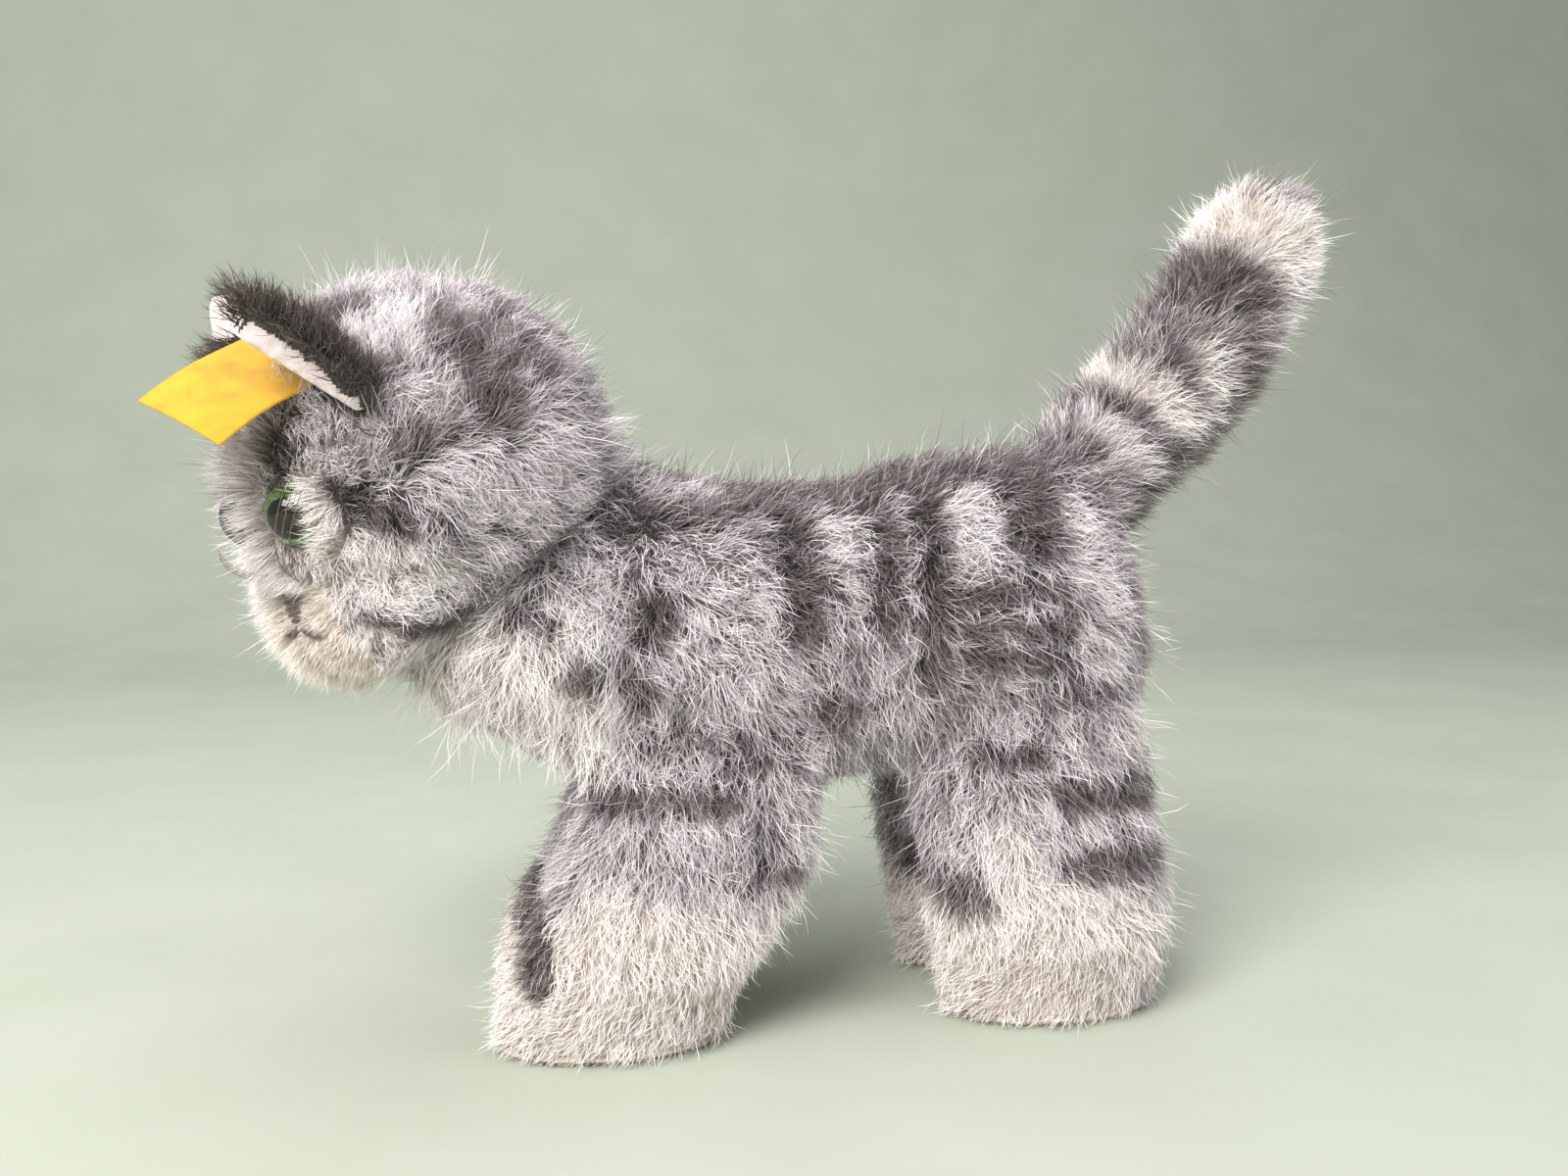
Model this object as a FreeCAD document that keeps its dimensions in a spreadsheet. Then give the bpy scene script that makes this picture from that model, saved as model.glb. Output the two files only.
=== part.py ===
import FreeCAD, Part
import math
import os

# Plush cat, standing, head turned to its left. Millimetres, +Z up, nose towards -X,
# the cat's left side towards -Y, origin on the floor under the middle of the toy.

doc = FreeCAD.newDocument("plush_cat")
sheet = doc.addObject("Spreadsheet::Sheet", "sizes")

# Sections of the stuffed shapes: centre, half sizes and lean of each oval.
TORSO = {
    # name: (x, z, half height, half width, lean of the section's plane in degrees)
    "neck": (-58.7, 93.9, 30.0, 25.0, 48.0),
    "chest": (-43.5, 84.0, 33.0, 27.0, 36.0),
    "shoulder": (-19.0, 77.5, 33.5, 27.5, 18.0),
    "waist": (11.0, 79.0, 32.5, 27.0, 2.0),
    "hip": (37.0, 82.0, 34.0, 27.5, 0.0),
    "rump": (60.0, 83.0, 28.0, 22.5, -6.0),
    "seat": (73.0, 84.0, 13.0, 10.5, -10.0),
}
TAIL = {
    # name: (x, z, radius, lean)
    "root": (55.0, 103.0, 14.5, 44.0),
    "lower": (70.5, 117.5, 15.5, 44.0),
    "middle": (85.0, 133.0, 16.0, 48.0),
    "upper": (97.0, 149.5, 15.3, 56.0),
    "collar": (103.5, 162.5, 14.0, 66.0),
    "crook": (106.2, 170.5, 10.5, 74.0),
    "point": (107.2, 174.5, 4.5, 78.0),
}
FRONT_LEG = {
    # name: (x, distance from the middle, z, half length, half width)
    "front_sole": (-41.0, 16.0, 0.0, 20.5, 10.5),
    "front_toe": (-40.5, 16.0, 4.0, 24.5, 13.6),
    "front_paw": (-38.5, 16.0, 12.0, 26.0, 14.8),
    "front_ankle": (-31.0, 15.6, 25.0, 27.5, 14.4),
    "front_knee": (-24.5, 15.0, 41.0, 26.0, 14.0),
    "front_arm": (-21.5, 12.0, 60.0, 24.0, 14.0),
    "front_top": (-20.0, 9.0, 76.0, 18.0, 12.0),
}
HIND_LEG = {
    "hind_sole": (50.0, 16.0, 0.0, 20.5, 10.5),
    "hind_toe": (49.5, 16.0, 4.0, 25.0, 13.6),
    "hind_paw": (49.5, 16.0, 13.0, 27.0, 15.0),
    "hind_ankle": (47.5, 15.6, 34.0, 27.0, 14.6),
    "hind_thigh": (46.0, 14.2, 54.0, 26.0, 13.6),
    "hind_top": (47.0, 9.5, 76.0, 19.0, 12.0),
}

SIZES = {
    "cover": 5.0,            # mohair cloth and its pile together
    "gather": 3.0,           # cloth drawn flat over a neck disc
    "sole_cloth": 2.0,       # short plush under each paw
    "belly_half": 11.0,      # half width of the belly panel
    "belly_top": 66.0,       # height where the belly panel ends
    "neck_gap": 0.3,         # air between the head and the body at the joint
    "neck_tilt": 42.0,       # joint axis from the vertical, towards the nose
    "head_reach": 24.3,      # head centre from the joint's face, along the axis
    "head_long": 35.5,       # half sizes of the head's ball
    "head_wide": 38.0,
    "head_tall": 35.5,
    "head_yaw": 38.0,
    "head_pitch": 29.0,
    "head_roll": 3.0,
    "gusset_half": 10.0,     # half width of the strip over the crown
    "jaw_front": 27.0,       # centre of the muzzle from the head's centre
    "jaw_drop": 15.5,
    "jaw_long": 11.5,
    "jaw_tall": 14.0,
    "jaw_wide": 22.0,
    "disc_radius": 17.0,     # hardboard joint discs
    "disc_thick": 3.0,
    "washer_radius": 6.0,
    "washer_thick": 1.0,
    "pin_radius": 1.25,
    "pin_clear": 0.08,       # pin in its discs and washers
    "pin_eye": 3.2,          # middle radius of the pin's eye and curls
    "pin_wire": 0.8,
    "room_clear": 0.6,       # hollow round the pin's ends in the stuffing
    "eye_front": 33.2,       # back of the eye from the head's centre
    "eye_up": 7.0,
    "eye_side": 8.8,
    "eye_turn": 20.0,        # the eye looks outwards by this angle
    "eye_lift": 7.0,         # and upwards by this one
    "eye_radius": 5.4,
    "eye_dome": 3.4,
    "iris_thick": 1.0,
    "pupil_radius": 3.1,
    "pupil_thick": 0.3,
    "stem_radius": 1.7,
    "stem_long": 12.0,
    "eye_washer_radius": 5.5,
    "eye_washer_thick": 1.2,
    "eye_washer_depth": 6.4,
    "eye_clear": 0.25,       # air round the eye in the pile
    "ear_foot_front": 17.0,   # inner end of the ear's seam, from the head's centre
    "ear_foot_up": 29.5,
    "ear_foot_side": 9.0,
    "ear_heel_front": 19.8,   # outer end of the ear's seam
    "ear_heel_up": 18.5,
    "ear_heel_side": 24.5,
    "ear_tip_left_front": 34.2,    # the left ear is pressed forwards
    "ear_tip_left_up": 49.0,
    "ear_tip_left_side": 12.2,
    "ear_tip_right_front": 8.0,
    "ear_tip_right_up": 54.0,
    "ear_tip_right_side": 18.4,
    "ear_pile": 4.0,         # thickness of the ear's mohair back
    "ear_lining": 1.4,
    "ear_round": 4.0,
    "ribbon_wide": 15.0,
    "ribbon_long": 24.0,
    "ribbon_thick": 0.5,
    "ribbon_front": 17.9,    # middle of the ribbon's sewn edge, from the head's centre
    "ribbon_up": 31.2,
    "ribbon_side": 4.2,
    "ribbon_dip": 6.2,       # the ribbon hangs forwards and down by this angle
    "ribbon_swing": 10.9,    # and outwards by this one
    "ribbon_twist": -36.4,    # turned about its own length
    "thread_radius": 0.45,   # embroidery thread of the nose and mouth
    "nose_drop": 7.2,        # top stitch of the nose, below the head's centre
    "nose_half": 3.4,
    "nose_pitch": 1.05,      # from one stitch to the next
    "nose_taper": 0.55,      # each stitch is shorter by this much at both ends
    "mouth_drop": 12.8,      # where the two lines of the mouth meet
    "mouth_half": 6.2,
    "mouth_sag": 1.6,
    "stitch_proud": 0.68,    # middle of a thread above the plush it is sewn on
    "whisker_radius": 0.15,
    "whisker_lift": 0.7,     # start of a whisker ahead of the head's ball
    "whisker_drop": 4.4,     # root of the upper whisker, below the head's centre
    "whisker_side": 1.5,
    "whisker_pitch": 0.8,    # from one root to the next
    "whisker_rise": 18.3,
    "whisker_spread": 14.5,
    "whisker_bow": 3.4,      # how far a whisker stands off the face
    "hem_radius": 0.2,       # sewing thread of the ear's seam
    "hem_inset": 6.0,        # the two stitches, from the ear's outer corner
    "hem_pitch": 1.6,
    "hem_low": 4.6,          # their ends, from the line of the ear's seam
    "hem_high": 8.0,
    "stand_x": -0.2,         # the toy is moved by this much, so that its middle is
    "stand_y": 3.4,          # over the origin; the turned head reaches out to its left
}

NOSE_RUNS = 5
WHISKERS_PER_SIDE = 3


def fillSheet():
    # one cell for every driving size, with the size's name as its alias
    named = dict(SIZES)
    for sections, fields in (
        (TORSO, ("x", "z", "tall", "wide", "lean")),
        (TAIL, ("x", "z", "round", "lean")),
        (FRONT_LEG, ("x", "side", "z", "long", "wide")),
        (HIND_LEG, ("x", "side", "z", "long", "wide")),
    ):
        for name, values in sections.items():
            for field, value in zip(fields, values):
                named[name + "_" + field] = value
    for row, (name, value) in enumerate(named.items(), start=1):
        sheet.set("A%d" % row, name)
        sheet.set("B%d" % row, str(value))
        sheet.setAlias("B%d" % row, name)
    doc.recompute()


def size(name):
    return getattr(sheet, name)


def bind(thing, **sizes):
    for field, formula in sizes.items():
        thing.setExpression(field.replace("__", "."), formula)
    return thing


def cell(name):
    return "sizes." + name


def primitive(kind, name, **sizes):
    return bind(doc.addObject("Part::" + kind, name), **sizes)


def boolean(kind, name, base, tool):
    thing = doc.addObject("Part::" + kind, name)
    thing.Base, thing.Tool = base, tool
    return thing


def joined(name, shapes):
    thing = doc.addObject("Part::MultiFuse", name)
    thing.Shapes = shapes
    return thing


def minus(name, base, *tools):
    for count, tool in enumerate(tools, start=1):
        label = name if count == len(tools) else "%s_less_%d" % (name, count)
        base = boolean("Cut", label, base, tool)
    return base


def solidFrom(name, shape):
    # a solid made by Part's own functions from the sheet's sizes
    thing = doc.addObject("Part::Feature", name)
    thing.Shape = shape
    return thing


def loft(name, sections):
    thing = doc.addObject("Part::Loft", name)
    thing.Sections = sections
    thing.Solid = True
    thing.Ruled = False
    return thing


# The stuffed shapes.
ORIGIN = FreeCAD.Vector(0, 0, 0)
X_AXIS = FreeCAD.Vector(1, 0, 0)
Y_AXIS = FreeCAD.Vector(0, 1, 0)
Z_AXIS = FreeCAD.Vector(0, 0, 1)


def torsoSection(name, inset):
    # an upright oval across the body, leaning with the spine
    oval = primitive(
        "Ellipse", name + ("_inner" if inset else "_outer"),
        MajorRadius="%s - %s" % (cell(name + "_tall"), inset or "0"),
        MinorRadius="%s - %s" % (cell(name + "_wide"), inset or "0"),
    )
    oval.Placement.Rotation = FreeCAD.Rotation(Y_AXIS, -90 + size(name + "_lean"))
    along = {"neck": "sizes.gather", "seat": "-sizes.cover"}.get(name) if inset else None
    shift = along or "0"
    bind(
        oval,
        Placement__Base__x="%s + (%s) * cos(%s)" % (cell(name + "_x"), shift, cell(name + "_lean")),
        Placement__Base__z="%s - (%s) * sin(%s)" % (cell(name + "_z"), shift, cell(name + "_lean")),
    )
    return oval


def torsoLoft(name, inset):
    return loft(name, [torsoSection(section, inset) for section in TORSO])


def tailSection(name, inset):
    ring = primitive(
        "Circle", name + ("_inner" if inset else "_outer"),
        Radius="%s - %s" % (cell(name + "_round"), inset or "0"),
        Placement__Base__x=cell(name + "_x"),
        Placement__Base__z=cell(name + "_z"),
    )
    ring.Placement.Rotation = FreeCAD.Rotation(Y_AXIS, 90 - size(name + "_lean"))
    return ring


def tailLoft(name, inset):
    names = [n for n in TAIL if not (inset and n == "point")]
    return loft(name, [tailSection(section, inset) for section in names])


def legSection(name, side, inset):
    oval = primitive(
        "Ellipse", "%s_%s_%s" % (name, side, "inner" if inset else "outer"),
        MajorRadius="%s - %s" % (cell(name + "_long"), inset or "0"),
        MinorRadius="%s - %s" % (cell(name + "_wide"), inset or "0"),
        Placement__Base__x=cell(name + "_x"),
        Placement__Base__y=("-" if side == "left" else "") + cell(name + "_side"),
    )
    lift = " + sizes.sole_cloth" if inset and name.endswith(("_sole", "_top")) else ""
    return bind(oval, Placement__Base__z=cell(name + "_z") + lift)


def legLoft(name, sections, side, inset):
    return loft(name, [legSection(section, side, inset) for section in sections])


def boxAt(name, low, high):
    # a block between two corners given as formulas
    block = primitive("Box", name)
    for field, axis, number in (("Length", "x", 0), ("Width", "y", 1), ("Height", "z", 2)):
        block.setExpression(field, "(%s) - (%s)" % (high[number], low[number]))
        block.setExpression("Placement.Base." + axis, low[number])
    return block


REACH = "200"            # larger than the toy, for blocks that cut it


def torsoCovers(outer, inner, limbs):
    shell = minus("torso_shell", outer, inner, *limbs)
    belly = boxAt(
        "belly_zone", ("-" + REACH, "-sizes.belly_half", "0"),
        (REACH, "sizes.belly_half", "sizes.belly_top"),
    )
    left = boxAt("left_zone", ("-" + REACH, "-" + REACH, "0"), (REACH, "0", REACH))
    right = boxAt("right_zone", ("-" + REACH, "0", "0"), (REACH, REACH, REACH))
    sides = minus("torso_sides", shell, belly)
    return [
        boolean("Common", "torso_cover_left", sides, left),
        boolean("Common", "torso_cover_right", sides, right),
        boolean("Common", "belly_panel", shell, belly),
    ]


def leg(name, sections, side, torso_outer, torso_inner):
    # cover, sole and stuffing of one leg; the leg's hollow opens into the body
    outer = legLoft(name + "_outer", sections, side, "")
    inner = legLoft(name + "_inner", sections, side, "sizes.cover")
    shell = minus(name + "_shell", outer, inner, torso_outer)
    ground = boxAt(name + "_ground", ("-" + REACH, "-" + REACH, "0"), (REACH, REACH, "sizes.sole_cloth"))
    cover = minus(name + "_cover", shell, ground)
    sole = boolean("Common", name + "_sole", outer, ground)
    stuffing = minus(name + "_stuffing", inner, torso_inner)
    return inner, [cover, sole, stuffing]


# The neck joint.
def jointAxis():
    tilt = math.radians(size("neck_tilt"))
    return FreeCAD.Vector(-math.sin(tilt), 0, math.cos(tilt))


def jointCentre():
    return FreeCAD.Vector(size("neck_x"), 0, size("neck_z"))


def onJoint(thing, offset):
    # stands a turned part on the joint axis, this far ahead of the body's neck face
    turn = FreeCAD.Rotation(Z_AXIS, jointAxis())
    thing.Placement = FreeCAD.Placement(jointCentre() + jointAxis() * offset, turn)
    return thing


def ring(name, radius, thick):
    outer = primitive("Cylinder", name + "_blank", Radius=cell(radius), Height=cell(thick))
    bore = primitive(
        "Cylinder", name + "_bore",
        Radius="sizes.pin_radius + sizes.pin_clear", Height=cell(thick),
    )
    return boolean("Cut", name, outer, bore)


def cotterPin(head_side, body_side):
    # shaft with an eye above the head's washer and two legs curled under the body's
    radius, curl, wire = size("pin_radius"), size("pin_eye"), size("pin_wire")
    off = curl + wire + size("pin_clear")
    foot = -body_side - off
    pin = Part.makeCylinder(radius, head_side + 2 * wire - foot, Z_AXIS * foot)
    pin = pin.fuse(Part.makeTorus(curl, wire, Z_AXIS * (head_side + off), Y_AXIS))
    for way in (-1, 1):
        middle = FreeCAD.Vector(0, way * curl, foot)
        pin = pin.fuse(Part.makeTorus(curl, wire, middle, X_AXIS))
    return solidFrom("cotter_pin", pin.removeSplitter())


def pinBore(name):
    # the hole for the pin's shaft through both gathers
    reach = size("gather") + size("disc_thick")
    return solidFrom(name, Part.makeCylinder(
        size("pin_radius") + size("pin_clear"), 2 * reach, Z_AXIS * -reach,
    ))


def pinRoom():
    # radius and height of the hollow that the pin's eye or its curls need
    return (
        2 * size("pin_eye") + size("pin_wire") + size("room_clear"),
        2 * (size("pin_eye") + size("pin_wire")) + size("room_clear"),
    )


def jointRoom(name, way):
    # disc, washer and pin end on one side of the neck; way is 1 for the head
    disc, plate = size("disc_thick"), size("washer_thick")
    wide, deep = pinRoom()
    room = Part.makeCylinder(size("disc_radius"), disc, ORIGIN, Z_AXIS * way)
    room = room.fuse(Part.makeCylinder(wide, plate + deep, Z_AXIS * (way * disc), Z_AXIS * way))
    return solidFrom(name, room)


# The head, built in its own frame and then set on the joint.
def headPlacement():
    turn = FreeCAD.Rotation(size("head_yaw"), -size("head_pitch"), -size("head_roll"))
    return FreeCAD.Placement(jointCentre() + jointAxis() * size("head_reach"), turn)


def inHead(front, up, side):
    # a point of the head: ahead of its centre, above it and to its left
    return FreeCAD.Vector(-front, -side, up)


def headBall(name, inset):
    return primitive(
        "Ellipsoid", name, Radius1="sizes.head_tall - " + inset,
        Radius2="sizes.head_long - " + inset, Radius3="sizes.head_wide - " + inset,
        Angle1="-90", Angle2="90", Angle3="360",
    )


def headJaw(name, inset):
    return primitive(
        "Ellipsoid", name, Radius1="sizes.jaw_tall - " + inset,
        Radius2="sizes.jaw_long - " + inset, Radius3="sizes.jaw_wide - " + inset,
        Angle1="-90", Angle2="90", Angle3="360",
        Placement__Base__x="-sizes.jaw_front", Placement__Base__z="-sizes.jaw_drop",
    )


def behindNeck(name, ahead):
    # everything behind a plane across the joint axis, seen from the head's own frame
    reach = float(REACH)
    block = Part.makeBox(2 * reach, 2 * reach, 2 * reach, FreeCAD.Vector(-reach, -reach, -2 * reach))
    turn = FreeCAD.Rotation(Z_AXIS, jointAxis())
    place = FreeCAD.Placement(jointCentre() + jointAxis() * ahead, turn)
    block.Placement = headPlacement().inverse().multiply(place)
    return solidFrom(name, block)


def eyePlacement(side):
    spot = inHead(size("eye_front"), size("eye_up"), side * size("eye_side"))
    outward, upward = math.radians(size("eye_turn")), math.radians(size("eye_lift"))
    aim = inHead(math.cos(outward), math.tan(upward), side * math.sin(outward))
    return FreeCAD.Placement(spot, FreeCAD.Rotation(Z_AXIS, aim))


def revolved(name, corners, arc=None):
    # a turned body from a half outline in its own XZ plane, round its Z axis
    body = doc.addObject("PartDesign::Body", name)
    sketch = body.newObject("Sketcher::SketchObject", name + "_outline")
    plane = [f for f in body.Origin.OriginFeatures if f.Role == "XZ_Plane"][0]
    sketch.AttachmentSupport = [(plane, "")]
    sketch.MapMode = "FlatFace"
    points = [FreeCAD.Vector(x, z, 0) for x, z in corners]
    for start, end in zip(points, points[1:] + points[:1]):
        if arc and (start, end) == (points[arc[0]], points[arc[0] + 1]):
            middle = FreeCAD.Vector(arc[1][0], arc[1][1], 0)
            sketch.addGeometry(Part.Arc(start, middle, end), False)
        else:
            sketch.addGeometry(Part.LineSegment(start, end), False)
    turned = body.newObject("PartDesign::Revolution", name + "_turn")
    turned.Profile = sketch
    turned.ReferenceAxis = (sketch, ["V_Axis"])
    turned.Angle = 360
    return body


def eye(side_name, side):
    radius, dome, thick = size("eye_radius"), size("eye_dome"), size("iris_thick")
    pupil, deep = size("pupil_radius"), size("pupil_thick")
    stem, long = size("stem_radius"), size("stem_long")
    cap = (radius ** 2 + dome ** 2) / (2 * dome)
    half_turn = math.asin(radius / cap) / 2
    lens = revolved(
        "eye_lens_" + side_name,
        [(0, thick + deep), (pupil, thick + deep), (pupil, thick), (radius, thick), (0, thick + dome)],
        (3, (cap * math.sin(half_turn), thick + dome - cap * (1 - math.cos(half_turn)))),
    )
    iris = revolved(
        "eye_iris_" + side_name,
        [(0, -long), (stem, -long), (stem, 0), (radius, 0), (radius, thick), (0, thick)],
    )
    black = primitive(
        "Cylinder", "eye_pupil_" + side_name, Radius="sizes.pupil_radius", Height="sizes.pupil_thick",
    )
    washer = minus(
        "eye_washer_" + side_name,
        primitive(
            "Cylinder", "eye_washer_blank_" + side_name,
            Radius="sizes.eye_washer_radius", Height="sizes.eye_washer_thick",
        ),
        primitive(
            "Cylinder", "eye_washer_bore_" + side_name,
            Radius="sizes.stem_radius", Height="sizes.eye_washer_thick",
        ),
    )
    place = eyePlacement(side)
    lens.Placement = place
    iris.Placement = place
    black.Placement = place.multiply(FreeCAD.Placement(Z_AXIS * thick, FreeCAD.Rotation()))
    down = Z_AXIS * -(size("eye_washer_depth") + size("eye_washer_thick"))
    washer.Placement = place.multiply(FreeCAD.Placement(down, FreeCAD.Rotation()))
    return [lens, iris, black, washer]


def eyeRoom(side_name, side):
    # the space that an eye, its stem and its washer take in the head
    clear = size("eye_clear")
    ahead = size("head_long")
    pocket = Part.makeCylinder(size("eye_radius") + clear, ahead, FreeCAD.Vector(0, 0, -clear))
    stem = Part.makeCylinder(size("stem_radius"), size("stem_long"), Z_AXIS * -size("stem_long"))
    depth = size("eye_washer_depth") + size("eye_washer_thick")
    washer = Part.makeCylinder(size("eye_washer_radius"), size("eye_washer_thick"), Z_AXIS * -depth)
    room = pocket.fuse([stem, washer])
    room.Placement = eyePlacement(side)
    return solidFrom("eye_room_" + side_name, room)


def earPlacement(side_name, side):
    # the ear's seam runs along X, its tip points along Y and its back faces Z
    foot = inHead(size("ear_foot_front"), size("ear_foot_up"), side * size("ear_foot_side"))
    heel = inHead(size("ear_heel_front"), size("ear_heel_up"), side * size("ear_heel_side"))
    tip_name = "ear_tip_%s_" % side_name
    tip = inHead(size(tip_name + "front"), size(tip_name + "up"), side * size(tip_name + "side"))
    across = (heel - foot).normalize()
    back = across.cross(tip - foot).normalize() * side
    if back.x < 0:
        back = back * -1
    rise = back.cross(across)
    turn = FreeCAD.Rotation(across, rise, back, "ZXY")
    if (tip - foot).dot(rise) < 0:
        turn = FreeCAD.Rotation(across * -1, rise * -1, back, "ZXY")
    local = FreeCAD.Placement(foot, turn)
    return local, [local.inverse().multVec(corner) for corner in (foot, heel, tip)]


def earPanel(name, corners, thick):
    # a flat triangle of this thickness, rounded at its tip
    body = doc.addObject("PartDesign::Body", name + "_plate")
    sketch = body.newObject("Sketcher::SketchObject", name + "_outline")
    plane = [f for f in body.Origin.OriginFeatures if f.Role == "XY_Plane"][0]
    sketch.AttachmentSupport = [(plane, "")]
    sketch.MapMode = "FlatFace"
    for start, end in zip(corners, corners[1:] + corners[:1]):
        sketch.addGeometry(Part.LineSegment(start, end), False)
    pad = body.newObject("PartDesign::Pad", name + "_pad")
    pad.Profile = sketch
    pad.setExpression("Length", cell(thick))
    doc.recompute()
    tip = corners[2]
    upright = [
        "Edge%d" % number
        for number, edge in enumerate(pad.Shape.Edges, start=1)
        if all(abs(v.X - tip.x) + abs(v.Y - tip.y) < 1e-3 for v in edge.Vertexes)
    ]
    rounding = body.newObject("PartDesign::Fillet", name + "_rounding")
    rounding.Base = (pad, upright)
    rounding.setExpression("Radius", "sizes.ear_round")
    return body


def ear(side_name, side, keep_out):
    # mohair back and smooth lining, sewn back to back
    local, corners = earPlacement(side_name, side)
    made = []
    for kind, thick, below in (("back", "ear_pile", 0.0), ("lining", "ear_lining", size("ear_lining"))):
        name = "ear_%s_%s" % (kind, side_name)
        panel = earPanel(name, corners, thick)
        panel.Placement = local.multiply(FreeCAD.Placement(Z_AXIS * -below, FreeCAD.Rotation()))
        made.append(boolean("Cut", name, panel, keep_out))
    if side_name == "left":
        made.append(hemStitches(local, corners[1]))
    return made


def thread(points, radius):
    # one run of thread or filament: a round wire along the arc through three points
    path = Part.Wire([Part.Arc(*points).toShape()])
    edge = path.Edges[0]
    start = edge.valueAt(edge.FirstParameter)
    along = edge.tangentAt(edge.FirstParameter)
    section = Part.Wire([Part.makeCircle(radius, start, along)])
    return path.makePipeShell([section], True, True)


def onJaw(up, side, lift):
    # a point on the muzzle's surface, raised by lift
    tall, wide, long = size("jaw_tall"), size("jaw_wide"), size("jaw_long")
    level = (up + size("jaw_drop")) / tall
    across = side / wide
    depth = math.sqrt(max(0.0, 1 - level * level - across * across))
    return inHead(size("jaw_front") + long * depth + lift, up, side)


def onBall(up, side):
    # a point on the head's ball
    level, across = up / size("head_tall"), side / size("head_wide")
    return inHead(size("head_long") * math.sqrt(1 - level * level - across * across), up, side)


def noseStitches():
    # satin stitches side by side, shorter towards the lip
    runs = []
    for count in range(NOSE_RUNS):
        up = -size("nose_drop") - count * size("nose_pitch")
        half = size("nose_half") - count * size("nose_taper")
        points = [onJaw(up, across, size("stitch_proud")) for across in (-half, 0, half)]
        runs.append(thread(points, size("thread_radius")))
    return solidFrom("nose_stitches", Part.makeCompound(runs))


def mouthStitches():
    # one drooping line to each side, below the nose
    drop, half, sag = size("mouth_drop"), size("mouth_half"), size("mouth_sag")
    proud = size("stitch_proud")
    runs = []
    for side in (-1, 1):
        start = onJaw(-drop, side * size("thread_radius") * 2, proud)
        middle = onJaw(-drop - sag, side * half / 2, proud)
        end = onJaw(-drop - sag, side * half, proud)
        runs.append(thread([start, middle, end], size("thread_radius")))
    return solidFrom("mouth_stitches", Part.makeCompound(runs))


def whiskers(side_name, side):
    # filaments from beside the nose, rising past the eye in a shallow bow
    rise, spread, bow = size("whisker_rise"), size("whisker_spread"), size("whisker_bow")
    runs = []
    for count in range(WHISKERS_PER_SIDE):
        further = count * size("whisker_pitch")
        root = onBall(-size("whisker_drop") - further, side * (size("whisker_side") + further))
        root = root + inHead(size("whisker_lift"), 0, 0)
        middle = root + inHead(bow, rise / 2, side * (spread + further) / 2)
        end = root + inHead(0, rise, side * (spread + further))
        runs.append(thread([root, middle, end], size("whisker_radius")))
    return solidFrom("whiskers_" + side_name, Part.makeCompound(runs))


def hemStitches(local, heel):
    # two stitches over the lining, close to the ear's outer corner
    thick = size("ear_lining") + size("hem_radius")
    runs = []
    for count in range(2):
        along = heel.x - size("hem_inset") - count * size("hem_pitch")
        low = FreeCAD.Vector(along, heel.y + size("hem_low"), -thick)
        high = FreeCAD.Vector(along, heel.y + size("hem_high"), -thick)
        middle = (low + high) * 0.5 - Z_AXIS * size("hem_radius")
        runs.append(thread([low, middle, high], size("hem_radius")))
    stitches = solidFrom("ear_hem_stitches", Part.makeCompound(runs))
    stitches.Placement = local
    return stitches


def ribbonTag():
    # a plain woven ribbon, sewn in at the left ear's inner corner
    ribbon = primitive(
        "Box", "ribbon_blank", Length="sizes.ribbon_long", Width="sizes.ribbon_wide",
        Height="sizes.ribbon_thick",
    )
    sewn = inHead(size("ribbon_front"), size("ribbon_up"), size("ribbon_side"))
    hang = FreeCAD.Rotation(180 + size("ribbon_swing"), size("ribbon_dip"), 0)
    twist = FreeCAD.Rotation(X_AXIS, size("ribbon_twist"))
    place = FreeCAD.Placement(sewn, hang.multiply(twist))
    ribbon.Placement = place.multiply(FreeCAD.Placement(Y_AXIS * -size("ribbon_wide") / 2, FreeCAD.Rotation()))
    return ribbon


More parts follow.
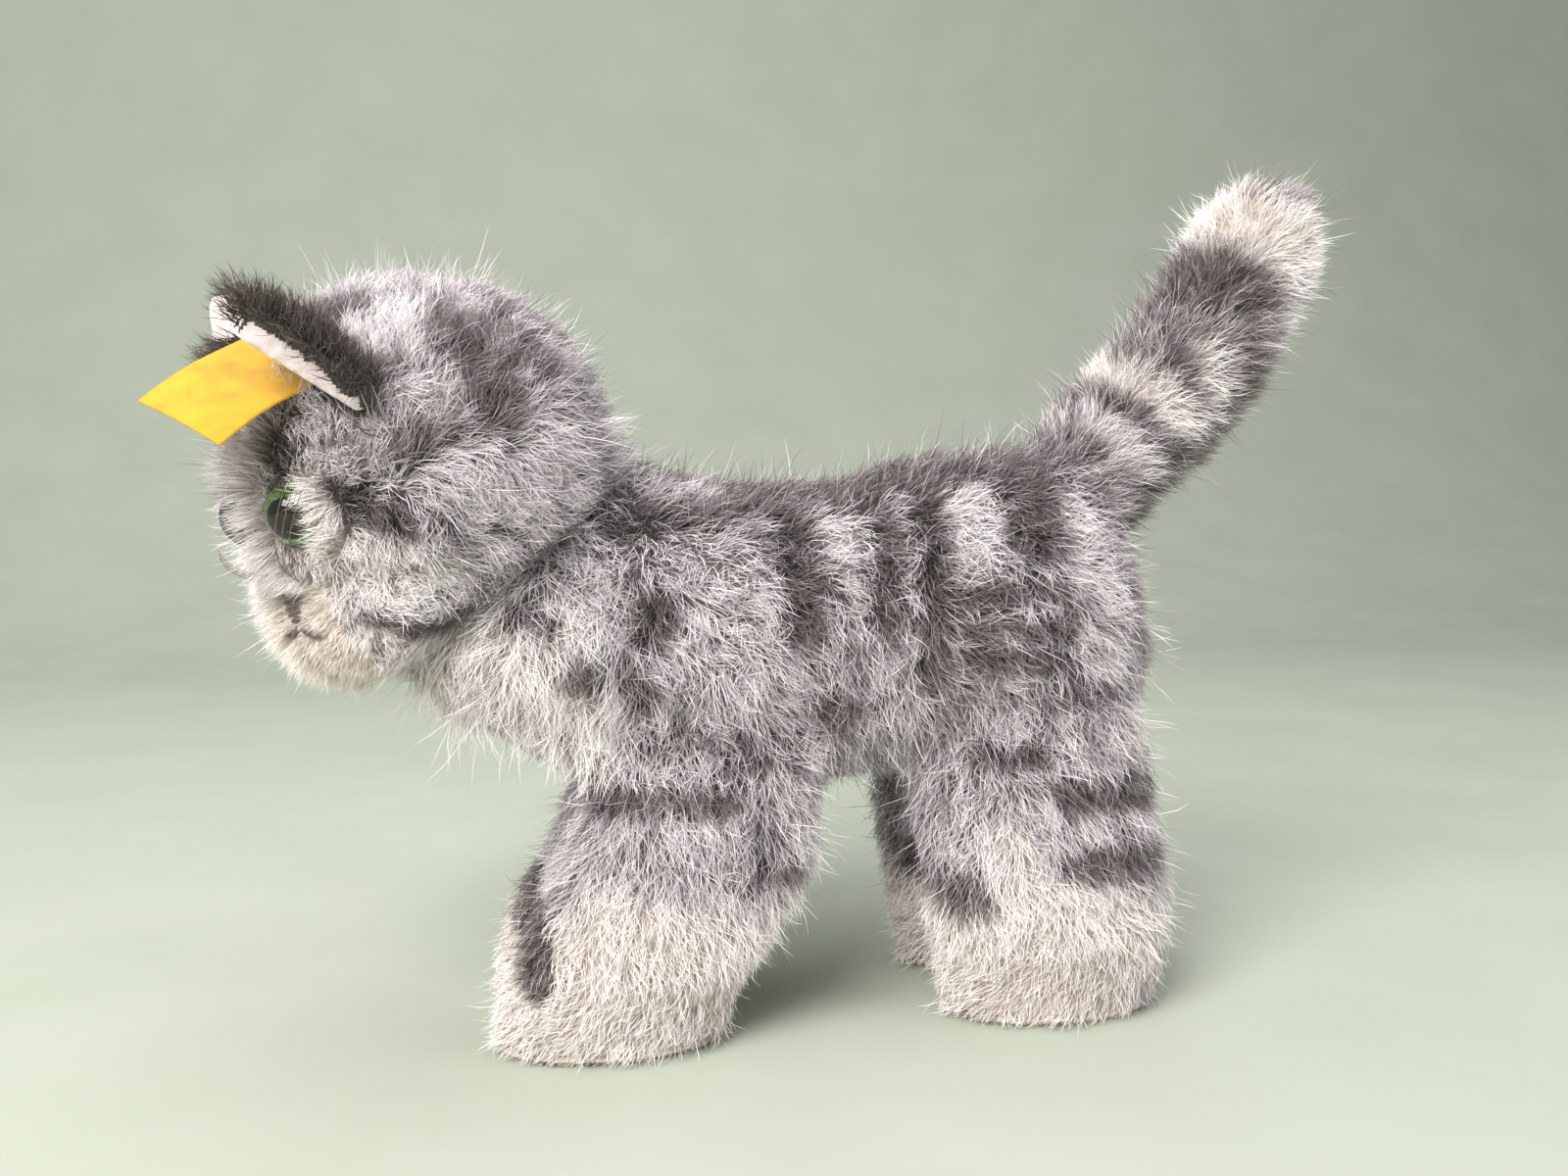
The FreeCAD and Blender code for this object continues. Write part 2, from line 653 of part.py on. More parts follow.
def headPieces():
    outer_cut = behindNeck("behind_head_face", size("neck_gap"))
    inner_cut = behindNeck("behind_head_gather", size("neck_gap") + size("gather"))
    ball = minus("head_ball", headBall("head_ball_full", "0"), outer_cut)
    ball_inner = minus("head_ball_inner", headBall("head_inner_full", "sizes.cover"), inner_cut)
    jaw = minus("jaw_outer", headJaw("jaw_full", "0"), outer_cut)
    jaw_inner = minus("jaw_inner", headJaw("jaw_inner_full", "sizes.cover"), inner_cut)
    rooms = [eyeRoom("left", 1), eyeRoom("right", -1)]
    pin_room = onJoint(pinBore("pin_room_head"), 0)
    disc_room = onJoint(jointRoom("disc_room_head", 1), size("neck_gap") + size("gather"))
    for room in (pin_room, disc_room):
        room.Placement = headPlacement().inverse().multiply(room.Placement)

    shell = minus("head_shell", ball, ball_inner, jaw_inner, pin_room, *rooms)
    strip = boxAt(
        "gusset_zone", ("-" + REACH, "-sizes.gusset_half", "0"), (REACH, "sizes.gusset_half", REACH),
    )
    left = boxAt("head_left_zone", ("-" + REACH, "-" + REACH, "-" + REACH), (REACH, "0", REACH))
    right = boxAt("head_right_zone", ("-" + REACH, "0", "-" + REACH), (REACH, REACH, REACH))
    sides = minus("head_sides", shell, strip)
    pieces = [
        boolean("Common", "head_cover_left", sides, left),
        boolean("Common", "head_cover_right", sides, right),
        boolean("Common", "head_gusset", shell, strip),
        minus("muzzle_cover", jaw, jaw_inner, ball, *rooms),
    ]
    filling = joined("head_filling", [ball_inner, jaw_inner])
    pieces.append(minus("head_stuffing", filling, disc_room, *rooms))
    for side_name, side in (("left", 1), ("right", -1)):
        pieces += eye(side_name, side)
        pieces += ear(side_name, side, ball)
        pieces.append(whiskers(side_name, side))
    pieces += [noseStitches(), mouthStitches()]
    pieces.append(minus("ribbon_tag", ribbonTag(), ball, *[p for p in pieces if "ear_" in p.Name]))
    return pieces


def bodyPieces():
    torso_outer = torsoLoft("torso_outer", "")
    torso_inner = torsoLoft("torso_inner", "sizes.cover")
    pieces = []
    limb_hollows = []
    for name, sections in (("front", FRONT_LEG), ("hind", HIND_LEG)):
        for side in ("left", "right"):
            hollow, made = leg("%s_%s_leg" % (name, side), sections, side, torso_outer, torso_inner)
            limb_hollows.append(hollow)
            pieces += made
    tail_outer = tailLoft("tail_outer", "")
    tail_inner = tailLoft("tail_inner", "sizes.cover")
    pieces.append(minus("tail_cover", tail_outer, tail_inner, torso_outer))
    pieces.append(minus("tail_stuffing", tail_inner, torso_inner))
    limb_hollows.append(tail_inner)

    pin_room = onJoint(pinBore("pin_room_body"), 0)
    disc_room = onJoint(jointRoom("disc_room_body", -1), -size("gather"))
    pieces += torsoCovers(torso_outer, torso_inner, limb_hollows + [pin_room])
    pieces.append(minus("torso_stuffing", torso_inner, disc_room))
    return pieces


def jointPieces():
    # discs and washers on both sides of the neck, and the pin through them
    thick, plate = size("disc_thick"), size("washer_thick")
    head_face = size("neck_gap") + size("gather")
    body_face = size("gather")
    return [
        onJoint(ring("body_neck_disc", "disc_radius", "disc_thick"), -body_face - thick),
        onJoint(ring("body_neck_washer", "washer_radius", "washer_thick"), -body_face - thick - plate),
    ], [
        onJoint(ring("head_neck_disc", "disc_radius", "disc_thick"), head_face),
        onJoint(ring("head_neck_washer", "washer_radius", "washer_thick"), head_face + thick),
        onJoint(cotterPin(head_face + thick + plate, body_face + thick + plate), 0),
    ]


def check(pieces):
    for thing in doc.Objects:
        if "Invalid" in thing.State or "Error" in thing.State:
            raise RuntimeError("%s did not build: %s" % (thing.Name, thing.State))
    for thing in pieces:
        if thing.Shape.isNull() or not thing.Shape.isValid() or not thing.Shape.Solids:
            raise RuntimeError("%s has no valid solid" % thing.Name)


def main():
    fillSheet()
    body = bodyPieces()
    body_joint, head_joint = jointPieces()
    head = headPieces()
    doc.recompute()
    for thing in head:
        thing.Placement = headPlacement().multiply(thing.Placement)
    pieces = body + body_joint + head + head_joint
    stand = FreeCAD.Vector(size("stand_x"), size("stand_y"), 0)
    for thing in pieces:
        thing.Placement.Base = thing.Placement.Base + stand
    check(pieces)
    os.makedirs("parts", exist_ok=True)
    for thing in pieces:
        thing.Label = thing.Name
        thing.Shape.exportStep("parts/%s.step" % thing.Label)
        box = thing.Shape.BoundBox
        print("%-24s %2d solid %9.1f mm3  x %6.1f..%6.1f  y %6.1f..%6.1f  z %6.1f..%6.1f" % (
            thing.Label, len(thing.Shape.Solids), thing.Shape.Volume,
            box.XMin, box.XMax, box.YMin, box.YMax, box.ZMin, box.ZMax,
        ))
    print("%d nodes; joint at %s, axis %s" % (len(pieces), jointCentre() + stand, jointAxis()))


main()
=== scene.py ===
import math
import time

import bmesh
import bpy
import numpy as np
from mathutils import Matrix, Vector, kdtree


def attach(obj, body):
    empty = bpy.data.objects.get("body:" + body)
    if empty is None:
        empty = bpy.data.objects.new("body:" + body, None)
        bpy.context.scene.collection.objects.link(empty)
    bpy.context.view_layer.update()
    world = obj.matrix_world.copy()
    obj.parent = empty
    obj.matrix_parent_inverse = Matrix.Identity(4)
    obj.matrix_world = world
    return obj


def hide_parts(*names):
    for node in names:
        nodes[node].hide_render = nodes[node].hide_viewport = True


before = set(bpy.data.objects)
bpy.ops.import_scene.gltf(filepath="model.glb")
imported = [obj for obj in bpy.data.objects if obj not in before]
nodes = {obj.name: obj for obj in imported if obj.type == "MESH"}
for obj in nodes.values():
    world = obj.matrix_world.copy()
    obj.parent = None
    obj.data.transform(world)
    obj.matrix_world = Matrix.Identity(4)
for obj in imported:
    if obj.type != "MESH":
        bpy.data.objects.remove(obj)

scene = bpy.context.scene
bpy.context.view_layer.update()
mm = 0.001
started = time.time()


def report(stage):
    print("%6.1f s  %s" % (time.time() - started, stage))


# the camera stands at the height of the cat's own head
view = {"place": (-60.3, -262.6, 104.0), "heading": (0.208, 0.978), "down": 3.6, "lens": 30.15}


def makeCamera():
    slope = math.radians(view["down"])
    aim = Vector((view["heading"][0] * math.cos(slope), view["heading"][1] * math.cos(slope), -math.sin(slope)))
    camera = bpy.data.objects.new("camera", bpy.data.cameras.new("camera"))
    camera.data.lens = view["lens"]
    camera.data.sensor_width = 36
    camera.data.clip_start = 0.005
    camera.data.dof.use_dof = False
    camera.location = Vector(view["place"]) * mm
    camera.rotation_euler = aim.to_track_quat("-Z", "Y").to_euler()
    scene.collection.objects.link(camera)
    scene.camera = camera


makeCamera()
report("camera set")

# places that the pieces share. Sizes are in millimetres, and newPiece turns them into metres
headPlace = {"centre": (-75.16, 3.4, 111.96), "yaw": 38, "pitch": 29, "roll": 3, "eye": (33.2, 7.0, 8.8),
             "ball": 35.0}
neckPlace = {"centre": (-58.9, 3.4, 93.9), "axis": (-0.66913, 0.0, 0.74314)}


def headAxes():
    yaw, pitch, roll = (math.radians(headPlace[k]) for k in ("yaw", "pitch", "roll"))
    turn = np.array([[math.cos(yaw), -math.sin(yaw), 0], [math.sin(yaw), math.cos(yaw), 0], [0, 0, 1]])
    nod = np.array([[math.cos(pitch), 0, -math.sin(pitch)], [0, 1, 0], [math.sin(pitch), 0, math.cos(pitch)]])
    tilt = np.array([[1, 0, 0], [0, math.cos(roll), math.sin(roll)], [0, -math.sin(roll), math.cos(roll)]])
    axes = turn @ nod @ tilt
    return np.array([-axes[:, 0], axes[:, 2], -axes[:, 1]])    # rows: front, up, left


headWays = headAxes()
headCentre = np.array(headPlace["centre"])
neckCentre = np.array(neckPlace["centre"])
neckAxis = np.array(neckPlace["axis"])


def inHead(points):
    return (points - headCentre) @ headWays.T


def fromHead(points):
    return np.asarray(points, float) @ headWays + headCentre


eyeCentres = [fromHead((headPlace["eye"][0], headPlace["eye"][1], headPlace["eye"][2] * side))
              for side in (1, -1)]


# small tools for points and meshes
def unit(vectors):
    return vectors / np.maximum(np.linalg.norm(vectors, axis=-1, keepdims=True), 1e-9)


def blendStep(low, high, values):
    t = np.clip((values - low) / (high - low), 0, 1)
    return t * t * (3 - 2 * t)


def waves(points, size, seed, layers=6):
    draw = np.random.default_rng(seed)
    total = np.zeros(len(points))
    for _ in range(layers):
        way = draw.normal(size=3)
        way *= 2 * math.pi / (size * draw.uniform(0.6, 1.7) * np.linalg.norm(way))
        total += np.sin(points @ way + draw.uniform(0, 2 * math.pi))
    return total / math.sqrt(layers)


def nodeMesh(names):
    corners, triangles, owner, start = [], [], [], 0
    for index, name in enumerate(names):
        mesh = nodes[name].data
        flat = np.empty(len(mesh.vertices) * 3)
        mesh.vertices.foreach_get("co", flat)
        mesh.calc_loop_triangles()
        tri = np.empty(len(mesh.loop_triangles) * 3, np.int64)
        mesh.loop_triangles.foreach_get("vertices", tri)
        corners.append(flat.reshape(-1, 3) / mm)
        triangles.append(tri.reshape(-1, 3) + start)
        owner.append(np.full(len(mesh.vertices), index))
        start += len(mesh.vertices)
    return np.concatenate(corners), np.concatenate(triangles), np.concatenate(owner)


def placePiece(name, mesh, body):
    piece = bpy.data.objects.new(name, mesh)
    scene.collection.objects.link(piece)
    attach(piece, body)
    return piece


def newPiece(name, corners, faces, body, material):
    mesh = bpy.data.meshes.new(name)
    mesh.vertices.add(len(corners))
    mesh.vertices.foreach_set("co", (np.asarray(corners, float) * mm).ravel())
    mesh.loops.add(faces.size)
    mesh.loops.foreach_set("vertex_index", faces.ravel().astype(np.int32))
    mesh.polygons.add(len(faces))
    mesh.polygons.foreach_set("loop_start", np.arange(len(faces), dtype=np.int32) * faces.shape[1])
    mesh.polygons.foreach_set("use_smooth", np.full(len(faces), True))
    mesh.update(calc_edges=True)
    mesh.validate()
    mesh.materials.append(material)
    return placePiece(name, mesh, body)


def joinedWords(name):
    first, *others = name.split("_")
    return first + "".join(word.capitalize() for word in others)


def meshPoints(piece):
    flat = np.empty(len(piece.data.vertices) * 3)
    piece.data.vertices.foreach_get("co", flat)
    return flat.reshape(-1, 3) / mm


def meshNormals(piece):
    flat = np.empty(len(piece.data.vertices) * 3)
    piece.data.vertex_normals.foreach_get("vector", flat)
    return flat.reshape(-1, 3)


def meshTriangles(piece):
    piece.data.calc_loop_triangles()
    tri = np.empty(len(piece.data.loop_triangles) * 3, np.int64)
    piece.data.loop_triangles.foreach_get("vertices", tri)
    return tri.reshape(-1, 3)


def movePoints(piece, points):
    piece.data.vertices.foreach_set("co", (points * mm).ravel())
    piece.data.update()


def settle(piece):
    graph = bpy.context.evaluated_depsgraph_get()
    graph.update()
    mesh = bpy.data.meshes.new_from_object(piece.evaluated_get(graph), depsgraph=graph)
    piece.modifiers.clear()
    old, piece.data = piece.data, mesh
    bpy.data.meshes.remove(old)


def keepLargest(piece):
    bm = bmesh.new()
    bm.from_mesh(piece.data)
    bm.verts.ensure_lookup_table()
    seen, groups = set(), []
    for first in bm.verts:
        if first.index in seen:
            continue
        group, edge = [], [first]
        seen.add(first.index)
        while edge:
            vert = edge.pop()
            group.append(vert)
            for link in vert.link_edges:
                other = link.other_vert(vert)
                if other.index not in seen:
                    seen.add(other.index)
                    edge.append(other)
        groups.append(group)
    groups.sort(key=len)
    for group in groups[:-1]:
        bmesh.ops.delete(bm, geom=group, context="VERTS")
    bm.to_mesh(piece.data)
    bm.free()


def nearestOf(points, tree):
    found = np.empty(len(points), np.int64)
    gap = np.empty(len(points))
    for i, point in enumerate(points):
        _, found[i], gap[i] = tree.find(point)
    return found, gap


def treeOf(points):
    tree = kdtree.KDTree(len(points))
    for i, point in enumerate(points):
        tree.insert(point, i)
    tree.balance()
    return tree


# finishes
def newFinish(name, **sockets):
    material = bpy.data.materials.new(name)
    material.use_nodes = True
    shader = material.node_tree.nodes["Principled BSDF"]
    for key, value in sockets.items():
        shader.inputs[key.replace("_", " ")].default_value = value
    return material, material.node_tree, shader


def addNode(tree, kind, **inputs):
    node = tree.nodes.new(kind)
    for key, value in inputs.items():
        node.inputs[key.replace("_", " ")].default_value = value
    return node


def addRamp(tree, stops, source):
    ramp = tree.nodes.new("ShaderNodeValToRGB")
    points = ramp.color_ramp.elements
    while len(points) < len(stops):
        points.new(0.5)
    for point, (place, colour) in zip(points, stops):
        point.position = place
        point.color = (*colour, 1)
    tree.links.new(source, ramp.inputs[0])
    return ramp.outputs[0]


def addBump(tree, shader, height, strength, distance):
    bump = addNode(tree, "ShaderNodeBump", Strength=strength, Distance=distance * mm)
    tree.links.new(height, bump.inputs["Height"])
    tree.links.new(bump.outputs[0], shader.inputs["Normal"])


def addNoise(tree, size, detail=3.0, source=None):
    noise = addNode(tree, "ShaderNodeTexNoise", Scale=1 / (size * mm), Detail=detail)
    tree.links.new(source or tree.nodes.new("ShaderNodeTexCoord").outputs["Object"], noise.inputs["Vector"])
    return noise.outputs[0]


def addMath(tree, kind, first, second=None):
    node = tree.nodes.new("ShaderNodeMath")
    node.operation = kind
    for socket, value in zip(node.inputs, (first, second)):
        if isinstance(value, (int, float)):
            socket.default_value = value
        elif value is not None:
            tree.links.new(value, socket)
    return node.outputs[0]


def varyRoughness(tree, shader, source, low, high):
    spread = addNode(tree, "ShaderNodeMapRange", To_Min=low, To_Max=high)
    tree.links.new(source, spread.inputs[0])
    tree.links.new(spread.outputs[0], shader.inputs["Roughness"])


def mottledFinish(name, dark, light, size, bump, rough=(0.5, 0.7), **sockets):
    material, tree, shader = newFinish(name, **sockets)
    grain = addNoise(tree, size)
    tree.links.new(addRamp(tree, [(0.3, dark), (0.7, light)], grain), shader.inputs["Base Color"])
    addBump(tree, shader, addNoise(tree, size * 0.4), 0.6, bump)
    varyRoughness(tree, shader, grain, *rough)
    return material


def pileFinish(name, roots, tips, sheen=0.25):
    material, tree, shader = newFinish(name, Sheen_Weight=sheen, Sheen_Roughness=0.5, Specular_IOR_Level=0.25)
    strandMap = tree.nodes.new("ShaderNodeUVMap")    # u is the tone, v runs from root to tip
    strandMap.uv_map = "OFBake"
    split = tree.nodes.new("ShaderNodeSeparateXYZ")
    tree.links.new(strandMap.outputs[0], split.inputs[0])
    mix = tree.nodes.new("ShaderNodeMix")
    mix.data_type = "RGBA"
    along = addNode(tree, "ShaderNodeMapRange", From_Min=0.05, From_Max=0.75)
    tree.links.new(split.outputs[1], along.inputs[0])
    tree.links.new(along.outputs[0], mix.inputs[0])
    tree.links.new(addRamp(tree, roots, split.outputs[0]), mix.inputs[6])
    tree.links.new(addRamp(tree, tips, split.outputs[0]), mix.inputs[7])
    tree.links.new(mix.outputs[2], shader.inputs["Base Color"])
    varyRoughness(tree, shader, split.outputs[1], 0.75, 0.5)
    return material


def skinFinish(name, stops):
    material, tree, shader = newFinish(name, Sheen_Weight=0.2, Specular_IOR_Level=0.2)
    tone = tree.nodes.new("ShaderNodeAttribute")
    tone.attribute_name = "tone"
    knit = addNoise(tree, 0.7)
    shade = addMath(tree, "MULTIPLY_ADD", knit, 0.16)
    shade.node.inputs[2].default_value = -0.08
    total = addMath(tree, "ADD", tone.outputs["Fac"], shade)
    tree.links.new(addRamp(tree, stops, total), shader.inputs["Base Color"])
    addBump(tree, shader, addNoise(tree, 0.45), 0.7, 0.4)
    varyRoughness(tree, shader, knit, 0.8, 0.95)
    return material


# tone runs from the darkest stripe, 0, over silver, 0.6, and white, 0.8, to the cream of the paws, 1
coatColours = {
    "roots": [(0.0, (0.030, 0.022, 0.020)), (0.35, (0.075, 0.062, 0.060)), (0.6, (0.22, 0.19, 0.19)),
              (0.8, (0.52, 0.47, 0.46)), (1.0, (0.60, 0.50, 0.43))],
    "tips": [(0.0, (0.070, 0.052, 0.046)), (0.35, (0.25, 0.21, 0.21)), (0.6, (0.66, 0.60, 0.63)),
             (0.8, (0.88, 0.84, 0.86)), (1.0, (0.92, 0.86, 0.81))],
    # the backing follows the coat's own markings but is painted darker than the hair roots: painted shade deep
    # in the pile
    "skin": [(0.0, (0.020, 0.015, 0.013)), (0.35, (0.050, 0.040, 0.038)), (0.6, (0.15, 0.13, 0.13)),
             (0.8, (0.40, 0.35, 0.34)), (1.0, (0.48, 0.40, 0.34))],
}
coatPile = pileFinish("stripedPile", coatColours["roots"], coatColours["tips"])
# pile backing with painted shade, darker than the roots of the hairs that grow from it
backingWithPaintedShade = skinFinish("pileBackingPaintedShade", coatColours["skin"])
muzzlePile = pileFinish("muzzlePile", [(0.0, (0.58, 0.48, 0.41)), (1.0, (0.82, 0.73, 0.66))],
                        [(0.0, (0.78, 0.67, 0.59)), (1.0, (0.95, 0.88, 0.83))])
earPile = pileFinish("earPile", [(0.0, (0.018, 0.013, 0.011)), (1.0, (0.07, 0.055, 0.048))],
                     [(0.0, (0.055, 0.040, 0.034)), (0.5, (0.13, 0.10, 0.088)), (1.0, (0.42, 0.35, 0.33))])
solePile = pileFinish("solePile", [(0.0, (0.45, 0.37, 0.31)), (1.0, (0.60, 0.52, 0.45))],
                      [(0.0, (0.66, 0.56, 0.48)), (1.0, (0.84, 0.76, 0.68))])
report("pile finishes made")

# the coat's markings, as (x, z, x, z, radius, tone), and on the head between two (front, up, side)
coatBase = {"torso": 0.50, "belly": 0.62, "frontLeg": 0.60, "hindLeg": 0.58, "tail": 0.36, "head": 0.54,
            "muzzle": 0.9}
markings = {
    "torso": [
        (-66, 92, -40, 92, 4, 0.55), (-56, 74, -52, 52, 13, 0.90), (-57, 82, -55, 80, 4.2, 0.10),
        (-34, 84, -33, 82, 4.6, 0.10), (-48, 73, -47, 72, 3.2, 0.16), (-37, 71, -36, 69, 3.8, 0.10),
        (-22, 94, -20, 70, 7, 0.60), (-6, 103, -5, 80, 3.4, 0.06), (5.5, 108, 5.5, 97, 4.4, 0.74),
        (11.5, 106, 12, 80, 2.3, 0.12), (21, 111, 21, 71, 3.1, 0.08), (32, 107, 31, 97, 5, 0.76),
        (27, 86, 46, 87, 2.4, 0.12), (26, 80, 47, 79, 2.2, 0.12), (28, 74, 46, 73, 2.4, 0.12),
        (44, 110, 42, 97, 6, 0.12), (2, 64, 3, 63, 4, 0.12), (54, 100, 60, 86, 4, 0.72),
        (-40, 100, 44, 113, 3.0, 0.16), (56, 74, 62, 70, 5, 0.62),
    ],
    "frontLeg": [
        (-39, 59.5, -9, 59.5, 2.5, 0.12), (-21, 54, -6, 54, 1.9, 0.14), (-44, 48, -21, 48, 2.8, 0.16),
        (-32, 38, -30, 34, 8, 0.60), (-14, 33, -5, 33, 2.2, 0.14), (-40, 20, -24, 12, 11, 0.98),
        (-57, 27, -56, 16, 3.4, 0.16),
    ],
    "hindLeg": [
        (38, 66, 58, 66, 2.6, 0.10), (30, 54, 43, 54, 2.4, 0.14), (47, 46, 68, 46, 3.3, 0.10),
        (50, 32, 68, 32, 3.5, 0.16), (40, 20, 62, 14, 10, 0.96), (36, 36, 34, 30, 5, 0.9),
        (27, 27, 28, 25, 4.2, 0.14),
    ],
    "tail": [
        (53, 107, 62, 97, 2.8, 0.72), (60, 123, 72, 112, 3.2, 0.80), (66, 134, 80, 121, 3.4, 0.92),
        (84, 137, 88, 125, 2.6, 0.86), (84, 155, 94, 151, 8, 0.16), (104, 155, 108, 144, 5, 0.76),
        (88, 169, 106, 160, 7.5, 0.97), (95, 133, 96, 131, 3.4, 0.16),
    ],
    "head": [
        (29, 19, 5, 29, 15, 12, 2.8, 0.10), (29, 15, 12, 30, 9, 18, 2.6, 0.10),
        (30, 9, 18, 25, 0, 26, 3.0, 0.08), (29, -13, 15, 20, -22, 23, 3.0, 0.10),
        (18, 12, 28, 14, 8, 31, 3, 0.20), (12, -4, 33, 6, -10, 33, 3, 0.24),
        (-1, 25, 28, 3, 10, 35, 4.6, 0.14), (8, 35, 3, 6, 34, 10, 4.6, 0.14),
        (5, 31, 16, 9, 28, 17, 6, 0.74), (-6, 20, 29, -10, 14, 32, 5.5, 0.20),
        (27, 16, 16, 31, 8, 12, 3.0, 0.68), (32, 8, 14, 34, -6, 8, 4.2, 0.92),
        (31, -4, 16, 25, -12, 24, 5.2, 0.86), (15, 2, 34, 8, -6, 36, 6, 0.60),
        (32, 18, 0, 22, 30, 0, 6, 0.72), (34, 7, 0, 36, 0, 0, 4.6, 0.88),
        (30, -16, 10, 26, -20, 12, 5, 0.90), (2, -20, 27, 8, -24, 20, 5, 0.78),
        (-14, 22, 18, -26, 4, 22, 4, 0.20), (-20, 24, 0, -32, 8, 0, 4, 0.22),
    ],
}


def markedTone(points, region):
    tone = coatBase[region] + 0.10 * waves(points, 13, 31) + 0.05 * waves(points, 5, 32)
    local = points[:, [0, 2]]
    if region == "head":
        local = unit(inHead(points)) * headPlace["ball"]
        local[:, 2] = np.abs(local[:, 2])
    size = local.shape[1]
    for mark in markings.get(region, []):
        first, second = np.array(mark[:size], float), np.array(mark[size:2 * size], float)
        if region == "head":
            first, second = (unit(end) * headPlace["ball"] for end in (first, second))
        run = second - first
        along = np.clip((local - first) @ run / max(run @ run, 1e-6), 0, 1)
        gap = np.linalg.norm(local - (first + along[:, None] * run), axis=1) + 0.9 * waves(points, 7, 33)
        hold = 1 - blendStep(mark[-2] * 0.75, mark[-2] * 1.35, gap)
        tone = tone * (1 - hold) + mark[-1] * hold
    if region in ("frontLeg", "hindLeg"):
        paw = 1 - blendStep(20, 31, points[:, 2] + 2 * waves(points, 11, 34))
        paw = paw * (1 - blendStep(60, 67, points[:, 0]))
        tone = np.where((tone > 0.3) | (points[:, 2] < 10), tone + (0.97 - tone) * paw, tone)
    if region == "torso":
        ridge = 1 - blendStep(5, 12, np.abs(points[:, 1] - 3.4))
        ridge = ridge * blendStep(92, 98, points[:, 2])
        tone = tone * (1 - 0.7 * ridge) + 0.12 * ridge
        bib = (1 - blendStep(-56, -48, points[:, 0])) * (1 - blendStep(74, 86, points[:, 2]))
        tone = tone + (0.92 - tone) * bib
    return np.clip(tone, 0, 1)


# stuffed skins, closed pads that the pile grows from
bodySkinSizes = {"voxel": 2.5, "smooth": 5, "pressure": 4.0, "cap": 1.2, "fill": 0.8,
                 "inset": {"belly": 3.0, "muzzle": 0.7, "sole": 0.9}, "plainInset": 3.4}
legNames = ["front_left", "front_right", "hind_left", "hind_right"]
regionOf = {"torso_cover_left": "torso", "torso_cover_right": "torso", "torso_stuffing": "torso",
            "belly_panel": "belly", "tail_cover": "tail", "head_cover_left": "head",
            "head_cover_right": "head", "head_gusset": "head", "muzzle_cover": "muzzle"}
regionOf.update({name + "_leg_cover": name.split("_")[0] + "Leg" for name in legNames})
bodyCovers = ["torso_cover_left", "torso_cover_right", "belly_panel", "tail_cover"]
bodyCovers += [n + "_leg_cover" for n in legNames]
bodySoles = [n + "_leg_sole" for n in legNames]
bodyFill = ["torso_stuffing", "tail_stuffing"] + [n + "_leg_stuffing" for n in legNames]
headCovers = ["head_cover_left", "head_cover_right", "head_gusset", "muzzle_cover"]


def inflate(piece, pressure, cap):
    before = meshPoints(piece)
    cloth = piece.modifiers.new("Cloth", "CLOTH")
    cloth.settings.quality = 4
    cloth.settings.use_pressure = True
    cloth.settings.uniform_pressure_force = pressure
    cloth.settings.effector_weights.gravity = 0
    cloth.point_cache.frame_start = 1
    cloth.point_cache.frame_end = 20
    for step in range(1, 21):
        scene.frame_set(step)
    graph = bpy.context.evaluated_depsgraph_get()
    flat = np.empty(len(before) * 3)
    piece.evaluated_get(graph).data.vertices.foreach_get("co", flat)
    move = flat.reshape(-1, 3) / mm - before
    far = np.linalg.norm(move, axis=1, keepdims=True)
    piece.modifiers.clear()
    movePoints(piece, before + move * np.minimum(1, cap / np.maximum(far, 1e-6)))
    scene.frame_set(1)


def eyeGap(points):
    return np.min([np.linalg.norm(points - eye, axis=1) for eye in eyeCentres], axis=0)


def faceInset(points, inset):
    # the skin lies higher under the short pile of the face, and highest round the eyes
    inset = inset + (1.6 - inset) * blendStep(16, 26, inHead(points)[:, 0]) * (inset > 1.6)
    return inset + (0.3 - inset) * (1 - blendStep(8, 15, eyeGap(points)))


def stuffedSkin(name, covers, inner, body, sizes, material):
    corners, triangles, _ = nodeMesh(covers + inner)
    piece = newPiece(name, corners, triangles, body, material)
    remesh = piece.modifiers.new("Remesh", "REMESH")
    remesh.mode = "VOXEL"
    remesh.voxel_size = sizes["voxel"] * mm
    remesh.use_smooth_shade = True
    settle(piece)
    keepLargest(piece)
    smooth = piece.modifiers.new("Smooth", "SMOOTH")
    smooth.iterations = sizes["smooth"]
    settle(piece)
    points, normals = meshPoints(piece), meshNormals(piece)
    corners, _, owner = nodeMesh(covers)
    found, _ = nearestOf(points, treeOf(corners))
    kinds = ["sole" if "sole" in n else regionOf.get(n, "") for n in covers]
    inset = np.array([sizes["inset"].get(kind, sizes["plainInset"]) for kind in kinds])[owner[found]]
    if body == "head" and len(covers) > 2:
        inset = faceInset(points, inset)
    move = -normals * inset[:, None]
    byNeck = 1 - blendStep(3, 7, np.abs((points - neckCentre) @ neckAxis))
    move -= np.outer((move @ neckAxis) * byNeck, neckAxis)
    movePoints(piece, points + move)
    inflate(piece, sizes["pressure"], sizes["cap"])
    return piece


bodySkin = stuffedSkin("bodySkin", bodyCovers + bodySoles, bodyFill, "body", bodySkinSizes, backingWithPaintedShade)
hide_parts(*bodyFill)
report("body skin stuffed, %d faces" % len(bodySkin.data.polygons))
headSkin = stuffedSkin("headSkin", headCovers, ["head_stuffing"], "head", bodySkinSizes, backingWithPaintedShade)
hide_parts("head_stuffing")
report("head skin stuffed, %d faces" % len(headSkin.data.polygons))


